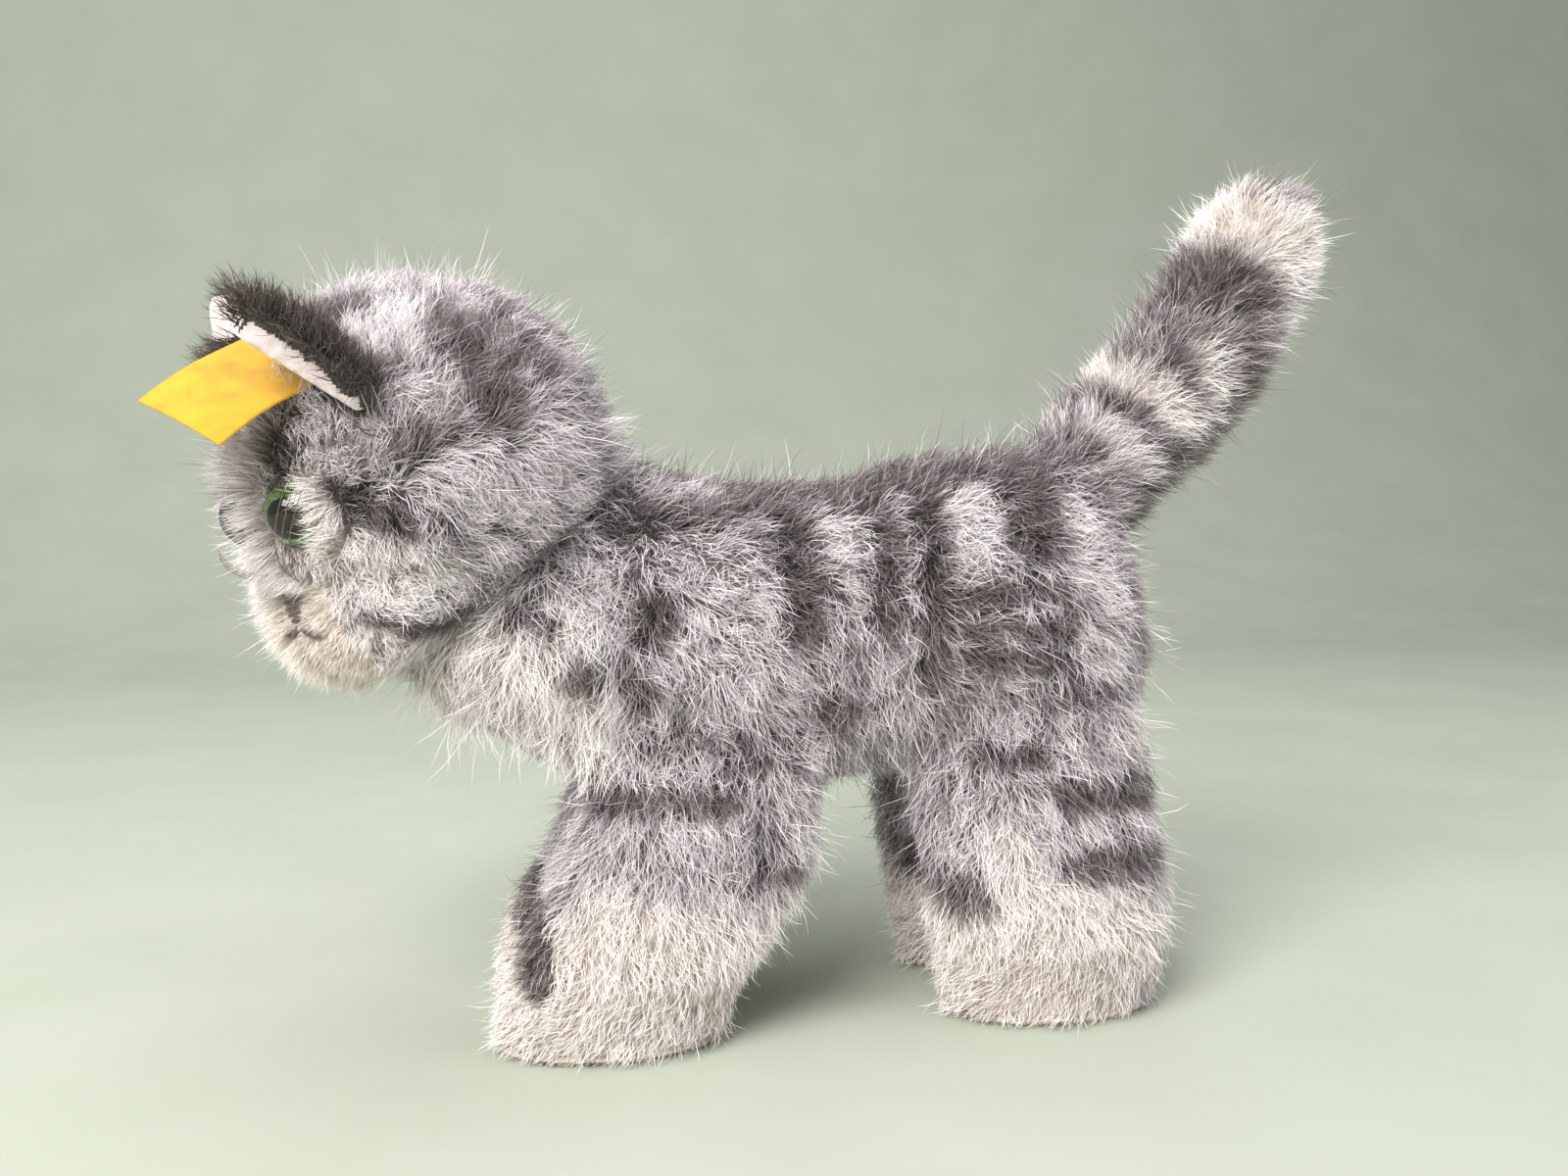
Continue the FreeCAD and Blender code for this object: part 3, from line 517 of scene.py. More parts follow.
# pile: tapered ribbons that start upright, lean with the nap and gather into tufts
def scatter(piece, perMm, seed, keep=None):
    draw = np.random.default_rng(seed)
    points, normals, triangles = meshPoints(piece), meshNormals(piece), meshTriangles(piece)
    if keep is not None:
        triangles = triangles[keep[triangles].all(axis=1)]
    a, b, c = (points[triangles[:, i]] for i in range(3))
    area = np.linalg.norm(np.cross(b - a, c - a), axis=1) / 2
    total = int(area.sum() * perMm)
    pick = np.searchsorted(np.cumsum(area), draw.uniform(0, area.sum(), total)).clip(0, len(area) - 1)
    u, v = draw.uniform(size=total), draw.uniform(size=total)
    u, v = np.where(u + v > 1, 1 - u, u)[:, None], np.where(u + v > 1, 1 - v, v)[:, None]
    roots = a[pick] * (1 - u - v) + b[pick] * u + c[pick] * v
    na, nb, nc = (normals[triangles[pick, i]] for i in range(3))
    return roots, unit(na * (1 - u - v) + nb * u + nc * v)


def strandAt(roots, middles, tips, place):
    return roots * (1 - place) ** 2 + middles * (2 * place * (1 - place)) + tips * place ** 2


def flattened(ways, normals):
    return unit(ways - normals * np.sum(ways * normals, axis=1, keepdims=True))


def spun(ways, normals, angles):
    return ways * np.cos(angles)[:, None] + np.cross(normals, ways) * np.sin(angles)[:, None]


rowPlaces = np.array([0.0, 0.36, 0.7, 1.0])


def ribbons(roots, middles, tips, normals, widths, seed):
    draw = np.random.default_rng(seed)
    side = unit(np.cross(tips - roots, normals))
    out = unit(np.cross(side, tips - roots))
    twist = draw.uniform(-1.0, 1.0, len(roots))[:, None]
    side = side * np.cos(twist) + out * np.sin(twist)
    corners = []
    for row, place in enumerate(rowPlaces):
        at = strandAt(roots, middles, tips, place)
        if row == len(rowPlaces) - 1:
            corners.append(at)
        else:
            half = side * (widths * (1 - 0.55 * place) / 2)[:, None]
            corners += [at - half, at + half]
    return np.stack(corners, axis=1)


def pilePiece(name, strands, tones, body, material):
    total, rows = strands.shape[:2]
    start = (np.arange(total) * rows)[:, None]
    pattern = np.array([[0, 1, 3], [0, 3, 2], [2, 3, 5], [2, 5, 4], [4, 5, 6]])
    faces = (start[:, :, None] + pattern[None]).reshape(-1, 3)
    piece = newPiece(name, strands.reshape(-1, 3), faces, body, material)
    across = np.array([-1, 1, -1, 1, -1, 1, 0]) * 0.004
    up = np.repeat(rowPlaces, 2)[:-1] * 0.94 + 0.03
    u = (tones * 0.96 + 0.02)[:, None] + across
    uv = np.stack([np.clip(u, 0.002, 0.998), np.broadcast_to(up, u.shape)], axis=2).reshape(-1, 2)
    layer = piece.data.uv_layers.new(name="OFBake")
    corner = np.empty(len(piece.data.loops), np.int64)
    piece.data.loops.foreach_get("vertex_index", corner)
    layer.data.foreach_set("uv", uv[corner].ravel())
    return piece


# length in millimetres, lean from 0, upright, to 1, flat along the nap
piles = {
    "torso": {"perMm": 3.4, "length": 6.8, "lean": 0.58, "width": 0.17, "stray": 0.06, "gather": 0.26,
              "swirl": 0.7},
    "belly": {"perMm": 2.0, "length": 5.0, "lean": 0.62, "width": 0.18, "stray": 0.02, "gather": 0.25,
              "swirl": 0.5},
    "frontLeg": {"perMm": 3.4, "length": 6.2, "lean": 0.62, "width": 0.16, "stray": 0.04, "gather": 0.24,
                 "swirl": 0.35},
    "hindLeg": {"perMm": 3.4, "length": 6.4, "lean": 0.62, "width": 0.16, "stray": 0.04, "gather": 0.26,
                "swirl": 0.4},
    "tail": {"perMm": 3.6, "length": 6.4, "lean": 0.48, "width": 0.16, "stray": 0.06, "gather": 0.24,
             "swirl": 0.6},
    "head": {"perMm": 6.5, "length": 6.6, "lean": 0.56, "width": 0.155, "stray": 0.06, "gather": 0.28,
             "swirl": 0.75},
    "muzzle": {"perMm": 10.0, "length": 2.6, "lean": 0.25, "width": 0.13, "stray": 0.01, "gather": 0.12,
               "swirl": 1.2},
}
tuft = {"perMm": 0.16, "jitter": 0.62, "light": 0.24, "lightTone": 0.34, "curl": 0.8}
lids = {"from": 4.6, "reach": 10.5, "length": 4.6}
bridge = {"half": 7.0, "from": 24.0, "length": 6.6, "lean": 0.15}
cheek = {"from": 11.0, "far": -3.0, "farLength": 5.8, "farLean": 0.3}
neckRoom = {"bare": 5.5, "radius": 20, "rim": 4, "cross": 2.4}    # the cut faces of the neck have no pile
eyeRoom = {"bare": 5.9, "soft": 11}
strayHair = {"longer": 1.4, "upright": 0.55}
lowest = 0.15    # height of the lowest hairs over the floor


# the way each part of the coat is brushed
naps = {"side": (0.40, 0.0, -0.92), "chest": (-0.10, 0.0, -1.0), "back": (1.0, 0.0, -0.2),
        "belly": (0.9, 0.0, -0.3),
        "leg": (0.10, 0.0, -1.0), "paw": (-0.75, 0.0, -0.65), "tail": (0.85, 0.0, 0.35)}
reach = {"chest": -34, "bib": 84, "paw": 17, "crown": 6, "face": 24}    # where those parts begin


def napWays(points, normals, regions):
    ways = np.tile(naps["side"], (len(points), 1))
    head = inHead(points)
    chest = (regions == "torso") & (points[:, 0] < reach["chest"])
    ways[chest] = naps["chest"]
    ways[(regions == "torso") & (normals[:, 2] > 0.7)] = naps["back"]
    ways[regions == "belly"] = naps["belly"]
    legs = (regions == "frontLeg") | (regions == "hindLeg")
    ways[legs] = naps["leg"]
    ways[legs & (points[:, 2] < reach["paw"])] = naps["paw"]
    ways[regions == "tail"] = naps["tail"]
    top = (regions == "head") & (head[:, 1] > reach["crown"])
    below = (regions == "head") & (head[:, 1] <= reach["crown"])
    ways[top] = -headWays[0] + 0.1 * headWays[1]
    ways[below] = -0.55 * headWays[0] - 0.85 * headWays[1]
    outward = np.sign(head[:, 2:3]) * headWays[2]
    face = (regions == "head") & (head[:, 0] > reach["face"])
    ways[face] += (outward * 0.9)[face]
    ways[regions == "muzzle"] = -0.2 * headWays[0] - 0.9 * headWays[1]
    return ways


def growPile(skin, covers, seed):
    draw = np.random.default_rng(seed + 50)
    cadCorners, _, cadOwner = nodeMesh(covers)
    cadTree = treeOf(cadCorners[::2])
    cadOwner = cadOwner[::2]
    densest = max(piles[r]["perMm"] for r in {regionOf[n] for n in covers if n in regionOf})
    roots, normals = scatter(skin, densest, seed)
    found, _ = nearestOf(roots, cadTree)
    owner = cadOwner[found]
    names = np.array(covers)[owner]
    regions = np.array([regionOf.get(n, "sole") for n in covers])[owner]
    density = np.array([piles[r]["perMm"] if r in piles else 0 for r in regions])
    stay = draw.uniform(size=len(roots)) < density / densest
    roots, normals, names, regions = roots[stay], normals[stay], names[stay], regions[stay]
    gap = (roots - neckCentre) @ neckAxis
    fromAxis = roots - neckCentre - np.outer(gap, neckAxis)
    flatNeck = (np.abs(gap) < neckRoom["bare"]) & (np.abs(normals @ neckAxis) > 0.6)
    flatNeck &= np.linalg.norm(fromAxis, axis=1) < neckRoom["radius"]
    nearEye = eyeGap(roots)
    gone = flatNeck | (nearEye < eyeRoom["bare"])
    kept = (roots, normals, names, regions, gap, nearEye)
    roots, normals, names, regions, gap, nearEye = (values[~gone] for values in kept)
    total = len(roots)
    head = inHead(roots)
    muzzleSide = (regions == "muzzle") & (np.abs(head[:, 2]) > cheek["from"])
    names = np.where(muzzleSide, np.where(head[:, 2] > 0, "head_cover_left", "head_cover_right"), names)
    regions = np.where(muzzleSide, "head", regions)

    keys = ("length", "lean", "width", "stray", "gather", "swirl")
    length, lean, width, stray, gather, swirl = (np.array([piles[r][key] for r in regions]) for key in keys)
    length = length * (1 + 0.16 * waves(roots, 12, seed + 1)) * draw.uniform(0.72, 1.15, total)
    chest = (regions == "torso") & (roots[:, 0] < reach["chest"]) & (roots[:, 2] < reach["bib"])
    length = length * np.where(chest, 1.3, 1)
    legs = (regions == "frontLeg") | (regions == "hindLeg")
    length = length * np.where(legs & (roots[:, 2] < reach["paw"]), 0.72, 1)
    face = regions == "head"
    length = length * np.where(face, 1 - 0.42 * blendStep(18, 27, head[:, 0]), 1)
    length = np.where(face & (nearEye < eyeRoom["soft"]), np.minimum(length, 3.0 + 0.4 * (nearEye - 6)), length)
    outer = np.abs(head[:, 2]) > headPlace["eye"][2] + lids["from"]
    lid = face & (nearEye < lids["reach"]) & outer & (head[:, 1] < 12)
    length = np.where(lid, lids["length"], length)
    onBridge = face & (np.abs(head[:, 2]) < bridge["half"]) & (head[:, 0] > bridge["from"]) & (head[:, 1] < 20)
    onBridge &= (head[:, 2] < 2.5) | (nearEye > 9)
    length = np.where(onBridge, bridge["length"] * draw.uniform(0.8, 1.1, total), length)
    lean = np.where(onBridge, bridge["lean"], lean)
    farCheek = ((regions == "muzzle") | muzzleSide) & (head[:, 2] < cheek["far"])
    length = np.where(farCheek, cheek["farLength"] * draw.uniform(0.7, 1.1, total), length)
    lean = np.where(farCheek, cheek["farLean"], lean)
    nearNeck = 1 - blendStep(2, 9, np.abs(gap))
    lean = np.clip(lean + 0.06 * nearNeck, 0, 0.9)
    strays = draw.uniform(size=total) < stray
    length = np.where(strays, length * strayHair["longer"], length)
    lean = np.where(strays, lean * strayHair["upright"], lean)

    seeds, _ = scatter(skin, tuft["perMm"], seed + 2)
    tuftOf, _ = nearestOf(roots, treeOf(seeds))
    tuftAngle = draw.normal(0, 1, len(seeds))
    tuftTone = draw.normal(0, 1, len(seeds))
    ways = napWays(roots, normals, regions)
    towardEye = -np.sign(head[:, 2:3]) * headWays[2] * 1.0 + headWays[1] * 0.75
    ways = np.where(lid[:, None], towardEye, ways)
    ways = flattened(ways, normals)
    turn = swirl * (0.6 * waves(roots, 16, seed + 3) + 0.8 * tuftAngle[tuftOf])
    turn = turn + draw.normal(0, tuft["jitter"], total)
    ways = spun(ways, normals, turn)
    slope = unit(normals * (1 - lean)[:, None] + ways * lean[:, None])
    onRim = (np.abs(gap) < neckRoom["rim"]) & (np.abs(normals @ neckAxis) > 0.5)
    outOfNeck = unit(fromAxis[~gone]) - 0.3 * neckSide(skin) * neckAxis + draw.normal(0, 0.25, (total, 3))
    slope = np.where(onRim[:, None], unit(outOfNeck), slope)
    tips = roots + slope * length[:, None] + draw.normal(0, tuft["curl"], (total, 3)) * (length / 6)[:, None]
    count = np.maximum(np.bincount(tuftOf, minlength=len(seeds)), 1)[:, None]
    meetings = np.stack([np.bincount(tuftOf, tips[:, i], len(seeds)) for i in range(3)], axis=1) / count
    gather = np.where(strays, 0, gather)[:, None]
    tips = tips * (1 - gather) + (meetings[tuftOf] + normals * 0.4) * gather
    middles = roots + unit(normals * 1.2 + ways * 0.4) * (length * 0.5)[:, None]
    middles += draw.normal(0, 0.7 * tuft["curl"], (total, 3)) * (length / 6)[:, None]

    tips[:, 2] = np.maximum(tips[:, 2], lowest + draw.uniform(0, 0.4, total))
    middles[:, 2] = np.maximum(middles[:, 2], lowest + 0.1)
    over = neckSide(skin) * ((tips - neckCentre) @ neckAxis)
    tips -= neckSide(skin) * neckAxis * np.minimum(over + neckRoom["cross"], 0)[:, None]

    tones = np.empty(total)
    for region in set(regions):
        here = regions == region
        tones[here] = markedTone(roots[here] * 0.35 + tips[here] * 0.65, region)
    tones += np.where(regions == "muzzle", 0.05, 0.035) * tuftTone[tuftOf] + draw.normal(0, 0.05, total)
    lighter = draw.uniform(size=total) < tuft["light"]
    tones = np.where(lighter & (regions != "muzzle") & (tones < 0.75), tones + tuft["lightTone"], tones)
    tones = np.clip(tones, 0, 1)
    return roots, middles, tips, normals, width, tones, names


def neckSide(skin):
    return 1.0 if skin.name == "headSkin" else -1.0


clearances = {"cloth": 1.1, "thread": 0.45}    # hairs nearer than this to a sewn part are cut away


def clearOf(strandParts, names, gap):
    corners, _, _ = nodeMesh(names)
    tree = treeOf(corners)
    low, high = corners.min(axis=0) - 9, corners.max(axis=0) + 9
    roots, middles, tips = strandParts[:3]
    near = ((tips > low) & (tips < high)).all(axis=1)
    touch = np.zeros(len(roots), bool)
    for place in (0.35, 0.7, 1.0):
        at = strandAt(roots, middles, tips, place)
        _, far = nearestOf(at[near], tree)
        touch[np.flatnonzero(near)[far < gap]] = True
    return tuple(part[~touch] for part in strandParts)


def addTone(skin, covers):
    points = meshPoints(skin)
    corners, _, owner = nodeMesh(covers)
    found, _ = nearestOf(points, treeOf(corners[::3]))
    regions = np.array([regionOf.get(n, "sole") for n in covers])[owner[::3][found]]
    tones = np.full(len(points), 0.95)
    for region in set(regions) - {"sole"}:
        here = regions == region
        tones[here] = markedTone(points[here], region)
    layer = skin.data.attributes.new("tone", "FLOAT", "POINT")
    layer.data.foreach_set("value", tones.astype(np.float32))


def pileOver(skin, covers, replaced, body, seed):
    parts = growPile(skin, covers, seed)
    if body == "head":
        parts = clearOf(parts, ["ribbon_tag", "ear_lining_left", "ear_lining_right"], clearances["cloth"])
        parts = clearOf(parts, ["nose_stitches", "mouth_stitches"], clearances["thread"])
    roots, middles, tips, normals, width, tones, names = parts
    strands = ribbons(roots, middles, tips, normals, width, seed + 9)
    for cover in replaced:
        here = names == cover
        finish, slot = (muzzlePile, "short_plush") if cover == "muzzle_cover" else (coatPile, "striped_mohair")
        pieceName = joinedWords(cover) + "Pile"
        piece = pilePiece(pieceName, strands[here], tones[here], body, finish)
        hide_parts(cover)
        report("%s: %d hairs" % (pieceName, here.sum()))


pileOver(bodySkin, bodyCovers + bodySoles, bodyCovers, "body", 100)
pileOver(headSkin, headCovers, headCovers, "head", 200)
addTone(bodySkin, bodyCovers + bodySoles)
addTone(headSkin, headCovers)
for skin in (bodySkin, headSkin):
    skin.modifiers.new("Subdivision", "SUBSURF").levels = 1
    skin.modifiers["Subdivision"].render_levels = 1

# soles: crowned pads of short plush under each paw
soleSizes = {"voxel": 1.2, "smooth": 2, "pressure": 3.0, "cap": 0.3, "fill": 0.6, "inset": {"sole": 0.5},
             "plainInset": 0.5, "perMm": 2.5, "width": 0.16, "tone": (0.6, 0.2)}
soleSkin = mottledFinish("soleBacking", (0.42, 0.35, 0.30), (0.62, 0.54, 0.47), 1.2, 0.3, Sheen_Weight=0.3)


def makeSole(leg, seed):
    node = leg + "_leg_sole"
    base = joinedWords(leg) + "Sole"
    pad = stuffedSkin(base, [node], [], "body", soleSizes, soleSkin)
    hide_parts(node)
    draw = np.random.default_rng(seed)
    roots, normals = scatter(pad, soleSizes["perMm"], seed, meshNormals(pad)[:, 2] < -0.3)
    total = len(roots)
    ways = flattened(np.tile((-1.0, 0.0, 0.0), (total, 1)), normals)
    ways = spun(ways, normals, draw.normal(0, 0.8, total))
    tips = roots + ways * draw.uniform(0.9, 1.6, total)[:, None]
    tips[:, 2] = np.maximum(roots[:, 2] - 0.35, 0.03)
    middles = (roots + tips) / 2
    middles[:, 2] = tips[:, 2]
    strands = ribbons(roots, middles, tips, normals, np.full(total, soleSizes["width"]), seed)
    tones = np.clip(draw.normal(*soleSizes["tone"], total), 0, 1)
    pilePiece(base + "Pile", strands, tones, "body", solePile)


for index, leg in enumerate(legNames):
    makeSole(leg, 300 + index)
report("soles made")

# ears: thin pads, dark pile on the back, smooth cloth in front
earSizes = {"voxel": 0.6, "smooth": 1, "pressure": 3.0, "cap": 0.2, "fill": 0.3, "inset": {},
            "plainInset": 0.05,
            "pile": 5.4, "perMm": 7.0, "lean": 0.35, "width": 0.19, "clear": 1.6}
earCloth, earTree, earShader = newFinish("earCloth", Sheen_Weight=0.5, Sheen_Roughness=0.4,
        Specular_IOR_Level=0.25)
earFuzz = addNoise(earTree, 2.2)
earTree.links.new(addRamp(earTree, [(0.25, (0.62, 0.50, 0.49)), (0.7, (0.82, 0.72, 0.71))], earFuzz),
        earShader.inputs["Base Color"])
addBump(earTree, earShader, addNoise(earTree, 0.35), 0.5, 0.25)
varyRoughness(earTree, earShader, earFuzz, 0.7, 0.9)
earBacking = mottledFinish("earBacking", (0.03, 0.022, 0.018), (0.08, 0.06, 0.05), 1.0, 0.3)


def makeEar(side, seed):
    back, lining = "ear_back_" + side, "ear_lining_" + side
    pad = stuffedSkin("ear" + side.capitalize(), [back, lining], [], "head", earSizes, earCloth)
    pad.data.materials.append(earBacking)
    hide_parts(lining)
    corners, _, owner = nodeMesh([back, lining])
    points, normals = meshPoints(pad), meshNormals(pad)
    found, _ = nearestOf(points, treeOf(corners))
    onBack = owner[found] == 0
    for face in pad.data.polygons:
        face.material_index = 1 if onBack[list(face.vertices)].sum() > 2 else 0
    draw = np.random.default_rng(seed)
    roots, grow = scatter(pad, earSizes["perMm"], seed, onBack)
    total = len(roots)
    tipWay = unit(points[onBack].mean(axis=0)[None] - headCentre)
    ways = flattened(np.repeat(tipWay, total, axis=0) + draw.normal(0, 0.5, (total, 3)), grow)
    lean = earSizes["lean"]
    length = earSizes["pile"] * draw.uniform(0.6, 1.2, total)
    tips = roots + unit(grow * (1 - lean) + ways * lean) * length[:, None] + draw.normal(0, 0.8, (total, 3))
    middles = roots + grow * (length * 0.5)[:, None] + draw.normal(0, 0.4, (total, 3))
    cloth, _, _ = nodeMesh([lining])
    _, near = nearestOf(tips, treeOf(cloth))
    stay = near > earSizes["clear"]
    roots, middles, tips, grow = roots[stay], middles[stay], tips[stay], grow[stay]
    strands = ribbons(roots, middles, tips, grow, np.full(len(roots), earSizes["width"]), seed + 1)
    tones = np.clip(0.35 + 0.2 * waves(roots, 6, seed) + draw.normal(0, 0.12, len(roots)), 0, 1)
    pile = pilePiece("ear" + side.capitalize() + "Pile", strands, tones, "head", earPile)
    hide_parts(back)
    report("ear %s: %d hairs" % (side, len(roots)))


makeEar("left", 400)
makeEar("right", 420)

# ribbon tag: a cut length of woven ribbon, sewn in at one end and lightly curled
ribbon = {"flat": (0.015, 0.0229), "curl": 1.7, "thick": 0.28, "along": 48, "across": 30, "weave": 0.42}


def ribbonFinish():
    material, tree, shader = newFinish("ribbonWeave", Sheen_Weight=0.2, Specular_IOR_Level=0.35)
    thread = tree.nodes.new("ShaderNodeAttribute")
    thread.attribute_name = "thread"
    split = tree.nodes.new("ShaderNodeSeparateXYZ")
    tree.links.new(thread.outputs["Vector"], split.inputs[0])
    warp = addMath(tree, "SINE", addMath(tree, "MULTIPLY", split.outputs[0], 2 * math.pi / ribbon["weave"]))
    weft = addMath(tree, "SINE", addMath(tree, "MULTIPLY", split.outputs[1], 2 * math.pi / ribbon["weave"]))
    weave = addMath(tree, "MULTIPLY", warp, weft)
    fade = addNoise(tree, 5.0)
    mixed = addMath(tree, "ADD", addMath(tree, "MULTIPLY", weave, 0.12), fade)
    tree.links.new(addRamp(tree, [(0.25, (0.50, 0.26, 0.004)), (0.6, (0.66, 0.37, 0.008)),
            (0.85, (0.72, 0.44, 0.02))], mixed),
                   shader.inputs["Base Color"])
    addBump(tree, shader, weave, 0.5, 0.12)
    varyRoughness(tree, shader, fade, 0.5, 0.72)
    return material


def makeRibbon():
    corners, _, _ = nodeMesh(["ribbon_tag"])
    centre = corners.mean(axis=0)
    _, _, ways = np.linalg.svd(corners - centre, full_matrices=False)
    local = (corners - centre) @ ways.T
    low, high = local.min(axis=0), local.max(axis=0)
    s, t = np.meshgrid(np.linspace(low[0], high[0], ribbon["along"]),
            np.linspace(low[1], high[1], ribbon["across"]), indexing="ij")
    a, b = (s - low[0]) / (high[0] - low[0]), (t - low[1]) / (high[1] - low[1])
    lift = 0.5 * np.cos(b * 5.0 + 1.2 * a) * a + 0.5 * np.sin(a * 4.2) - 0.3 * (2 * b - 1) ** 2
    lift = lift * ribbon["curl"]
    points = centre + s[..., None] * ways[0] + t[..., None] * ways[1] + lift[..., None] * ways[2]
    index = np.arange(s.size).reshape(s.shape)
    faces = np.stack([index[:-1, :-1], index[1:, :-1], index[1:, 1:], index[:-1, 1:]], axis=-1).reshape(-1, 4)
    piece = newPiece("ribbonTag", points.reshape(-1, 3), faces, "head", ribbonFinish())
    thread = piece.data.attributes.new("thread", "FLOAT_VECTOR", "POINT")
    thread.data.foreach_set("vector", np.stack([s, t, s * 0], axis=-1).ravel().astype(np.float32))
    solid = piece.modifiers.new("Thickness", "SOLIDIFY")
    solid.thickness = ribbon["thick"] * mm
    solid.offset = 0
    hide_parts("ribbon_tag")


makeRibbon()
report("ribbon made")


# hard pieces keep their shape and get their finishes
def irisFinish(name, centre):
    material, tree, shader = newFinish(name, Specular_IOR_Level=0.5, Coat_Weight=0.6)
    place = tree.nodes.new("ShaderNodeTexCoord")
    offset = tree.nodes.new("ShaderNodeVectorMath")
    offset.operation = "SUBTRACT"
    offset.inputs[1].default_value = tuple(centre * mm)
    tree.links.new(place.outputs["Object"], offset.inputs[0])
    ray = tree.nodes.new("ShaderNodeVectorMath")
    ray.operation = "NORMALIZE"
    tree.links.new(offset.outputs[0], ray.inputs[0])
    streak = addNode(tree, "ShaderNodeTexNoise", Scale=16.0, Detail=4.0)
    tree.links.new(ray.outputs[0], streak.inputs["Vector"])
    tree.links.new(addRamp(tree, [(0.3, (0.10, 0.20, 0.06)), (0.55, (0.24, 0.38, 0.13)),
            (0.75, (0.42, 0.55, 0.24))],
                           streak.outputs[0]), shader.inputs["Base Color"])
    addBump(tree, shader, streak.outputs[0], 0.3, 0.1)
    varyRoughness(tree, shader, streak.outputs[0], 0.2, 0.35)
    return material


def dress(names, material):
    for name in names:
        finishes = nodes[name].data.materials
        if not len(finishes):
            finishes.append(material)
        for index in range(len(finishes)):
            finishes[index] = material


# thread and whiskers, laid along the middle of their nodes
sewn = {"plies": 2, "twist": 0.9, "sides": 7, "steps": 22, "upright": (0.31, 0.52, 0.79)}
threads = {"noseThreads": ("nose_stitches", 0.46), "mouthThreads": ("mouth_stitches", 0.42),
           "earSeamThreads": ("ear_hem_stitches", 0.18)}
whisker = {"thick": 0.12, "far": 0.5, "standOff": 3.0, "forward": 0.35, "sides": 6}


def middleLines(name):
    corners, triangles, _ = nodeMesh([name])
    _, same = np.unique(np.round(corners, 3), axis=0, return_inverse=True)
    same = same.ravel()
    group = np.arange(same.max() + 1)
    for _ in range(60):
        tri = group[same[triangles]]
        least = tri.min(axis=1)
        fresh = group.copy()
        for column in range(3):
            np.minimum.at(fresh, same[triangles[:, column]], least)
        if (fresh == group).all():
            break
        group = fresh
    lines = []
    for part in np.unique(group):
        points = corners[group[same] == part]
        way = np.linalg.svd(points - points.mean(axis=0), full_matrices=False)[2][0]
        along = (points - points.mean(axis=0)) @ way
        order = np.linspace(along.min(), along.max(), 9)
        places = (order[:-1] + order[1:]) / 2
        centres = [points[(along >= low - 1e-3) & (along <= high + 1e-3)]
                   for low, high in zip(order[:-1], order[1:])]
        kept = [(place, block.mean(axis=0)) for place, block in zip(places, centres) if len(block)]
        fit = np.polynomial.polynomial.polyfit([k[0] for k in kept], np.array([k[1] for k in kept]), 2)
        t = np.linspace(along.min(), along.max(), sewn["steps"])
        lines.append(np.polynomial.polynomial.polyval(t, fit).T)
    return lines


def acrossWays(line):
    way = unit(np.gradient(line, axis=0))
    first = unit(np.cross(way, np.array(sewn["upright"])))
    return first, np.cross(way, first)


def tube(line, radii, sides):
    first, second = acrossWays(line)
    angles = np.linspace(0, 2 * math.pi, sides, endpoint=False)
    rings = (line[:, None] + first[:, None] * (np.cos(angles)[None, :, None] * radii[:, None, None])
             + second[:, None] * (np.sin(angles)[None, :, None] * radii[:, None, None]))
    index = np.arange(len(line) * sides).reshape(len(line), sides)
    turn = np.roll(index, -1, axis=1)
    faces = np.stack([index[:-1], turn[:-1], turn[1:], index[1:]], axis=-1).reshape(-1, 4)
    ends = np.array([[index[e, 0], index[e, i], index[e, i + 1], index[e, i + 1]] for e in (0, -1)
            for i in range(1, sides - 1)])
    return rings.reshape(-1, 3), faces, ends


def tubesPiece(name, runs, sides, body, material):
    corners, faces, start = [], [], 0
    for line, radii in runs:
        points, quads, ends = tube(line, radii, sides)
        corners.append(points)
        faces += [tuple(face) for face in (quads + start).tolist()]
        faces += [tuple(face[:3]) for face in (ends + start).tolist()]
        start += len(points)
    mesh = bpy.data.meshes.new(name)
    mesh.from_pydata((np.concatenate(corners) * mm).tolist(), [], faces)
    for face in mesh.polygons:
        face.use_smooth = True
    mesh.materials.append(material)
    return placePiece(name, mesh, body)


def sewThread(name, node, radius, material):
    runs = []
    for line in middleLines(node):
        first, second = acrossWays(line)
        travel = np.concatenate([[0], np.cumsum(np.linalg.norm(np.diff(line, axis=0), axis=1))])
        end = np.minimum(1, np.minimum(travel, travel[-1] - travel) / (radius * 1.2) + 0.35)
        for ply in range(sewn["plies"]):
            angle = travel / sewn["twist"] * math.pi + 2 * math.pi * ply / sewn["plies"]
            offset = (first * np.cos(angle)[:, None] + second * np.sin(angle)[:, None]) * radius * 0.45
            runs.append((line + offset, radius * 0.58 * end))
    piece = tubesPiece(name, runs, sewn["sides"], "head", material)
    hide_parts(node)


glass, glassTree, glassShader = newFinish("eyeGlass", Transmission_Weight=1.0, IOR=1.46)
varyRoughness(glassTree, glassShader, addNoise(glassTree, 3.0), 0.0, 0.03)
steel = mottledFinish("brightSteel", (0.42, 0.42, 0.43), (0.62, 0.62, 0.63), 1.5, 0.03, rough=(0.25, 0.4),
        Metallic=1.0)
board = mottledFinish("fibreBoard", (0.20, 0.13, 0.08), (0.34, 0.24, 0.16), 0.8, 0.1, rough=(0.75, 0.9))
pupil = mottledFinish("pupilBlack", (0.002, 0.002, 0.003), (0.006, 0.006, 0.007), 1.2, 0.02, rough=(0.3, 0.4))
thread = mottledFinish("brownThread", (0.035, 0.018, 0.012), (0.11, 0.065, 0.045), 0.5, 0.15, rough=(0.6, 0.8),
        Sheen_Weight=0.4)
nylon = mottledFinish("whiskerNylon", (0.10, 0.06, 0.04), (0.24, 0.16, 0.11), 1.5, 0.02, rough=(0.25, 0.4))
dress(["eye_lens_left", "eye_lens_right"], glass)
dress(["eye_pupil_left", "eye_pupil_right"], pupil)
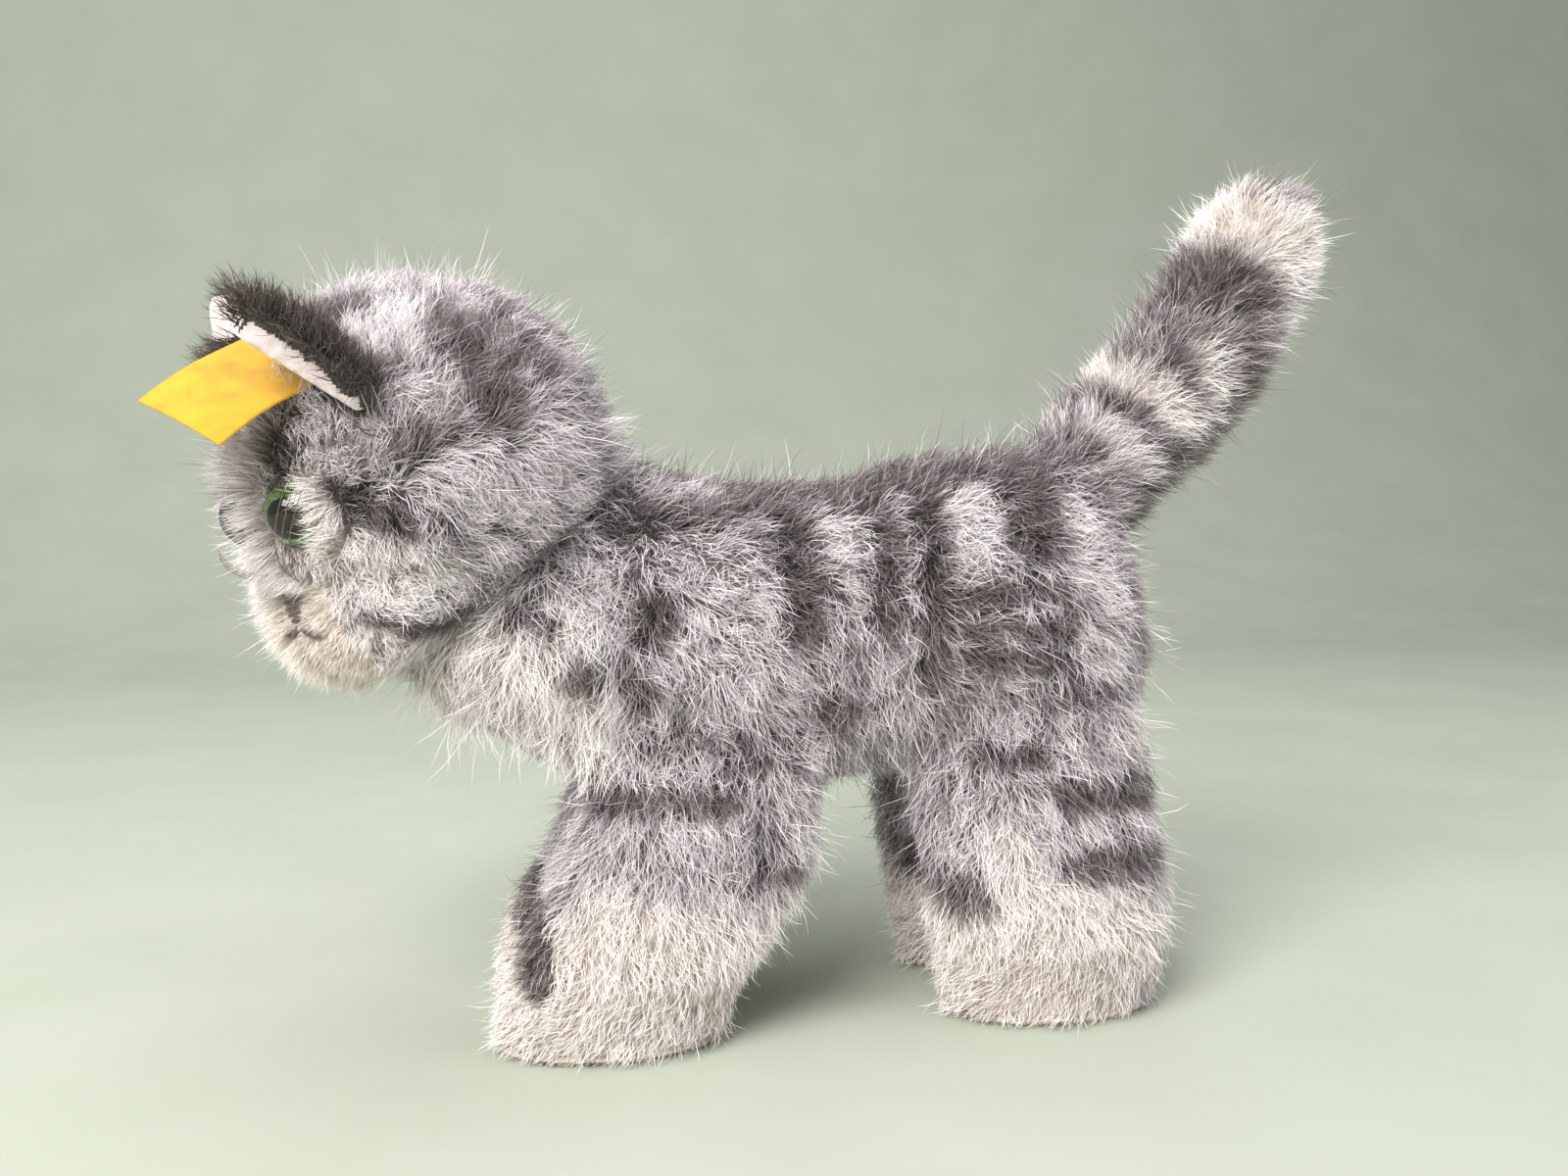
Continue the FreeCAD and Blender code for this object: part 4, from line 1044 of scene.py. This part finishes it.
dress(["eye_washer_left", "eye_washer_right", "head_neck_washer", "body_neck_washer", "cotter_pin"], steel)
dress(["head_neck_disc", "body_neck_disc"], board)
for name, (node, radius) in threads.items():
    sewThread(name, node, radius, thread)
for side in ("left", "right"):
    runs = []
    for line in middleLines("whiskers_" + side):
        line = line if line[0] @ headWays[1] < line[-1] @ headWays[1] else line[::-1]
        if side == "right":
            line = line[:max(4, int(len(line) * whisker["far"]))]
        rise = np.sin(np.linspace(0, 0.8 * math.pi, len(line)))[:, None] * whisker["standOff"]
        away = whisker["forward"] * headWays[0] + headWays[2] * (1 if side == "left" else -1)
        runs.append((line + away * rise, whisker["thick"] * np.linspace(1.2, 0.5, len(line))))
    piece = tubesPiece("whiskers" + side.capitalize(), runs, whisker["sides"], "head", nylon)
    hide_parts("whiskers_" + side)
for side, centre in zip(("left", "right"), eyeCentres):
    dress(["eye_iris_" + side], irisFinish("irisGreen" + side.capitalize(), centre))
report("eyes, thread and fittings finished")

# floor, backdrop and light
studio = {"depth": 1.1, "width": 3.0, "rise": 1.4, "bend": 0.5, "front": -3.0, "bendSteps": 12,
          "sky": 0.38, "skyColour": (0.92, 0.95, 1.0)}
lights = {    # place, aim, size in metres, power, colour
    "windowLight": ((-0.57, -0.66, 0.74), (-0.03, 0, 0.08), (0.6, 0.8), 21, (1.0, 0.985, 0.97)),
    "fillLight": ((0.85, -0.65, 0.5), (0, 0, 0.08), (0.9, 0.9), 4, (0.97, 0.98, 1.0)),
    "topLight": ((0.0, 0.1, 1.1), (0, 0, 0.1), (1.0, 1.0), 6, (1.0, 1.0, 1.0)),
}


def makeFloor():
    bend, start = studio["bend"], studio["depth"] - studio["bend"]
    profile = [(studio["front"], 0.0), (start, 0.0)]
    for step in range(1, studio["bendSteps"] + 1):
        angle = math.pi / 2 * step / studio["bendSteps"]
        profile.append((start + bend * math.sin(angle), bend * (1 - math.cos(angle))))
    profile.append((studio["depth"], studio["rise"]))
    corners = [(x, y, z) for y, z in profile for x in (-studio["width"], studio["width"])]
    faces = [(2 * i, 2 * i + 1, 2 * i + 3, 2 * i + 2) for i in range(len(profile) - 1)]
    mesh = bpy.data.meshes.new("paperSweep")
    mesh.from_pydata(corners, [], faces)
    for face in mesh.polygons:
        face.use_smooth = True
    paper = mottledFinish("palePaper", (0.40, 0.43, 0.35), (0.43, 0.46, 0.38), 60.0, 0.05, rough=(0.8, 0.95))
    mesh.materials.append(paper)
    sweep = bpy.data.objects.new("paperSweep", mesh)
    scene.collection.objects.link(sweep)


def addLight(name, place, aim, size, power, colour):
    lamp = bpy.data.lights.new(name, "AREA")
    lamp.shape = "RECTANGLE"
    lamp.size, lamp.size_y = size
    lamp.energy = power
    lamp.color = colour
    light = bpy.data.objects.new(name, lamp)
    light.location = place
    light.rotation_euler = (Vector(aim) - Vector(place)).to_track_quat("-Z", "Y").to_euler()
    scene.collection.objects.link(light)


def makeWorld():
    world = bpy.data.worlds.new("studio")
    scene.world = world
    world.use_nodes = True
    sky = world.node_tree.nodes["Background"].inputs
    sky[0].default_value = (*studio["skyColour"], 1)
    sky[1].default_value = studio["sky"]


makeFloor()
for name, (place, aim, size, power, colour) in lights.items():
    addLight(name, place, aim, size, power, colour)
makeWorld()
scene.view_settings.view_transform = "Standard"
report("studio lit")

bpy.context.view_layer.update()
report("sizes written")
